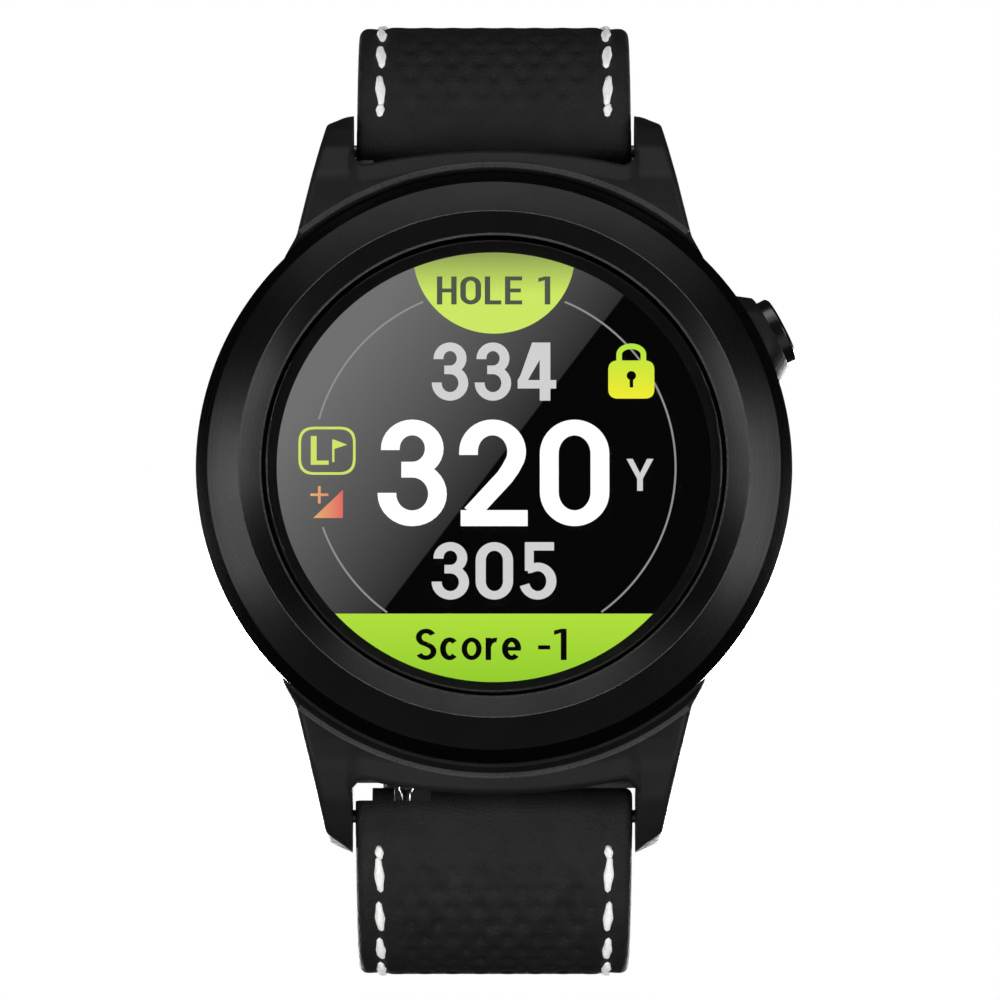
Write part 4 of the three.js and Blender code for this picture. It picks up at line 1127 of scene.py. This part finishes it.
def pusher():
    """Cap, stem and seal, turned about the pusher's own axis."""
    cap = rounded([(0, 24.5), (2.3, 24.5, 0.1), (2.3, 23.35, 0.05), (2.65, 23.35, 0.05), (2.65, 25.0, 0.12),
                   (2.42, 25.2, 0.15), (0, 25.2)], 5)
    stem = [(0, 18.6), (0.74, 18.6), (0.8, 18.66), (0.8, 18.88), (0.52, 18.88), (0.52, 19.22), (0.8, 19.22),
            (0.8, 20.7), (0.66, 20.7), (0.66, 21.3), (0.8, 21.3), (0.8, 24.35), (0.48, 24.4), (0.48, 24.48),
            (0, 24.48)]
    seal = [(0.96 + 0.24 * cos(t), 21.0 + 0.24 * sin(t)) for t in np.linspace(0, 2 * pi, 25)[:-1]]
    shapes = [("pusher_button", cap, PUSHER, "pusher_metal", "pusher_cap"),
              ("pusher_rod", stem, STEEL, "steel", "pusher_stem"),
              ("pusher_seal", seal, RUBBER, "rubber", "pusher_oring")]
    for name, outline, material, slot, node in shapes:
        paint(lathe(name, outline, 96, 40, along_pusher), material, slot, "pusher", node)


def coil(name, radius, wire, start, end, turns, place):
    """A coil spring drawn round the z axis from start to end, then put in place."""
    steps = 40 * turns
    rows = []
    for k in range(int(steps) + 1):
        turn = 2 * pi * k / 40
        middle = start + (end - start) * k / steps
        row = []
        for a in np.linspace(0, 2 * pi, 13)[:-1]:
            out = radius + wire * cos(a)
            row.append(place((out * cos(turn), out * sin(turn), middle + wire * sin(a))))
        rows.append(row)
    return swept(name, rows, 60)


def springs():
    """The pusher's spring and the two springs inside the bars, each with a mesh of its own."""
    press = coil("pusher_coil", 1.7, 0.14, 22.75, 24.2, 2.5, along_pusher)
    paint(press, STEEL, "steel", "watch", "pusher_spring")
    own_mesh(press)
    for clock, sign in (("12", 1), ("6", -1)):
        inner = coil(f"bar_coil_{clock}", 0.4, 0.09, -5.85, -1.3, 5,
                     lambda p: (p[2], sign * BAR_Y + p[1], BAR_Z + p[0]))
        paint(inner, STEEL, "steel", f"strap_{clock}", f"bar_spring_{clock}")
        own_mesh(inner)


def case_back():
    """The plate behind the case, with four screws and four charge contacts set into it."""
    outline = rounded([(0, 0), (8.6, 0), (9.2, 0, 0.1), (9.35, 0.22, 0.1), (11.4, 0.22, 0.1), (11.6, 0, 0.1),
                       (18.2, 0, 0.1), (18.4, 0.2, 0.1), (18.4, 1.2), (16.1, 1.2), (16.1, 0.8), (15.5, 0.8),
                       (15.5, 1.2), (0, 1.2)], 3)
    back = lathe("case_back_plate", outline, 256, 30)
    seats = []
    seat = [(0, -1), (1.0, -1), (1.0, 0.72), (0.85, 0.78), (0.85, 2), (0, 2)]
    head = rounded([(0, 0.08), (0.9, 0.08, 0.1), (0.9, 0.66, 0.05), (0.62, 0.72), (0.62, 2.6, 0.1), (0, 2.6)], 4)
    socket = [(0, -1), (0.42, -1), (0.42, 0.5), (0, 0.5)]
    for k in range(4):
        turn = radians(45 + 90 * k)
        place = moved(SCREW_CIRCLE * cos(turn), SCREW_CIRCLE * sin(turn))
        seats.append(lathe("seat", seat, 48, 40, place))
        screw = lathe(f"back_screw_{k + 1}", head, 64, 40, place)
        boolean(screw, lathe("socket", socket, 6, 40, place))
        tidy(screw, 40)
        paint(screw, STEEL, "steel", "watch", f"case_back_screw_{k + 1}")
    well = [(0, -1), (0.72, -1), (0.72, 2), (0, 2)]
    dome = rounded([(0, 0.05), (0.62, 0.05, 0.15), (0.62, 1.5, 0.05), (0.3, 1.55), (0.3, 1.9, 0.05), (0, 1.9)], 5)
    for k in range(4):
        place = moved((k - 1.5) * CONTACT_PITCH, CONTACT_Y)
        seats.append(lathe("well", well, 48, 40, place))
        contact = lathe(f"contact_{k + 1}", dome, 64, 40, place)
        paint(contact, GOLD, "gold", "watch", f"charge_contact_{k + 1}")
    boolean(back, joined("seats", seats))
    tidy(back, 30)
    paint(back, BACK, "back_resin", "watch", "case_back")


# --- Build everything, and give the inner CAD pieces their materials ---

case()
bezel()
lens()
border()
display_stack()
short_half()
long_half()
keeper("keeper_fixed", 62, 0.15, 0.12, "strap_12", "fixed_keeper")
keeper("keeper_free", 49, 0.4, 0.5, "keeper", "free_keeper")
buckle()
spring_bar("12", 1)
spring_bar("6", -1)
pusher()
springs()
case_back()

INSIDE = {
    "main_board": moulded("circuit_board", (0.006, 0.05, 0.02), (0.01, 0.08, 0.03), 0.4, 0.6),
    "battery": brushed_metal("cell_film", (0.3, 0.31, 0.33), 0.3),
    "gps_antenna": moulded("ceramic", (0.5, 0.46, 0.36), (0.6, 0.56, 0.45), 0.5),
    "display_flex": brushed_metal("copper_flex", (0.5, 0.27, 0.07), 0.4),
    **dict.fromkeys(("bezel_gasket", "case_back_gasket"), RUBBER),
    **dict.fromkeys(("inner_frame", "contact_carrier", "buzzer", "tact_switch", "battery_connector"), INNER),
    **dict.fromkeys(("shield_can", "vibration_motor", "pusher_clip"), STEEL),
}
for node, material in INSIDE.items():
    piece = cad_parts[node]
    piece.data.materials.clear()
    piece.data.materials.append(material)

# --- Floor, light and camera ---

# Places in this section are in the row frame, in metres.
CAMERA_PLACE = (0, -1.0020, -0.1478)
CAMERA_TARGET = (0, -0.013, 0)
BEHIND_DIAL = (0, 0.03, 0)


def aimed(obj, place, target):
    obj.location = place
    obj.rotation_euler = (Vector(target) - Vector(place)).to_track_quat("-Z", "Y").to_euler()


def softbox(name, place, wide, high, radiance, target=(0, -0.012, 0), glossy=True):
    """A rectangular light; the object mirrors it only if glossy is true."""
    lamp = bpy.data.lights.new(name, "AREA")
    lamp.shape = "RECTANGLE"
    lamp.size, lamp.size_y = wide, high
    lamp.energy = pi * wide * high * radiance
    obj = bpy.data.objects.new(name, lamp)
    bpy.context.scene.collection.objects.link(obj)
    aimed(obj, place, target)
    obj.visible_camera = False
    obj.visible_glossy = glossy
    obj.visible_transmission = glossy


def floor():
    """A pale floor that glows a little, and is neither mirrored nor shadowed by the object."""
    n = Nodes("pale_floor")
    n.set(Roughness=0.9, Base_Color=(0.3, 0.3, 0.3, 1), Emission_Strength=0.74)
    n.feed("Emission Color", n.ramp(n.noise(90, 3), (0.97, 0.97, 0.97), (1.0, 1.0, 1.0)))
    size, level = 3000, -200
    points = [(-size, level, size), (size, level, size), (size, level, -size), (-size, level, -size)]
    obj = make("pale_floor", points, [(0, 1, 2, 3)], 30)
    obj.data.materials.append(n.material)
    obj.visible_glossy = False
    obj.visible_diffuse = False
    obj.visible_transmission = False
    obj.visible_shadow = False


def surround():
    """White for the camera, dim for everything that the object mirrors."""
    world = bpy.data.worlds.new("surround")
    bpy.context.scene.world = world
    world.use_nodes = True
    tree = world.node_tree
    tree.nodes.clear()
    path = tree.nodes.new("ShaderNodeLightPath")
    mix = tree.nodes.new("ShaderNodeMixShader")
    out = tree.nodes.new("ShaderNodeOutputWorld")
    tree.links.new(path.outputs["Is Camera Ray"], mix.inputs["Fac"])
    for slot, level in ((1, 0.018), (2, 1.0)):
        background = tree.nodes.new("ShaderNodeBackground")
        background.inputs["Color"].default_value = (level, level, level, 1)
        tree.links.new(background.outputs[0], mix.inputs[slot])
    tree.links.new(mix.outputs[0], out.inputs["Surface"])


def camera():
    """A long lens, a little below the dial's centre."""
    lens_data = bpy.data.cameras.new("camera")
    lens_data.sensor_width = 36
    lens_data.lens = 468
    lens_data.shift_x, lens_data.shift_y = 0.006, -0.037
    lens_data.clip_start, lens_data.clip_end = 0.05, 20
    obj = bpy.data.objects.new("camera", lens_data)
    bpy.context.scene.collection.objects.link(obj)
    aimed(obj, CAMERA_PLACE, CAMERA_TARGET)
    bpy.context.scene.camera = obj


floor()
surround()
camera()
bpy.context.scene.view_settings.view_transform = "Standard"
for side in (-1, 1):
    softbox(f"side_light_{side + 2}", (side * 0.61, -0.73, 0.04), 0.19, 0.42, 2.5)
    softbox(f"side_edge_{side + 2}", (side * 0.76, -0.58, 0.05), 0.2, 0.42, 0.36)
softbox("top_light", (0, -0.345, 0.6), 0.8, 0.39, 0.71, (0, -0.345, 0))
softbox("top_edge", (0, -0.75, 0.6), 1.0, 0.4, 0.26, (0, -0.75, 0))
softbox("low_light", (0, -0.25, -0.17), 1.0, 0.34, 0.10, (0, -0.25, 0))
softbox("front_fill", (0, -0.8, -0.42), 0.6, 0.4, 13.0, glossy=False)
for side in (-1, 1):
    softbox(f"back_light_{side + 2}", (side * 0.5, 0.95, -0.02), 0.8, 0.26, 16.0, BEHIND_DIAL)
    softbox(f"side_fill_{side + 2}", (side * 0.9, 0.2, 0.4), 0.6, 0.6, 7.0, BEHIND_DIAL, glossy=False)
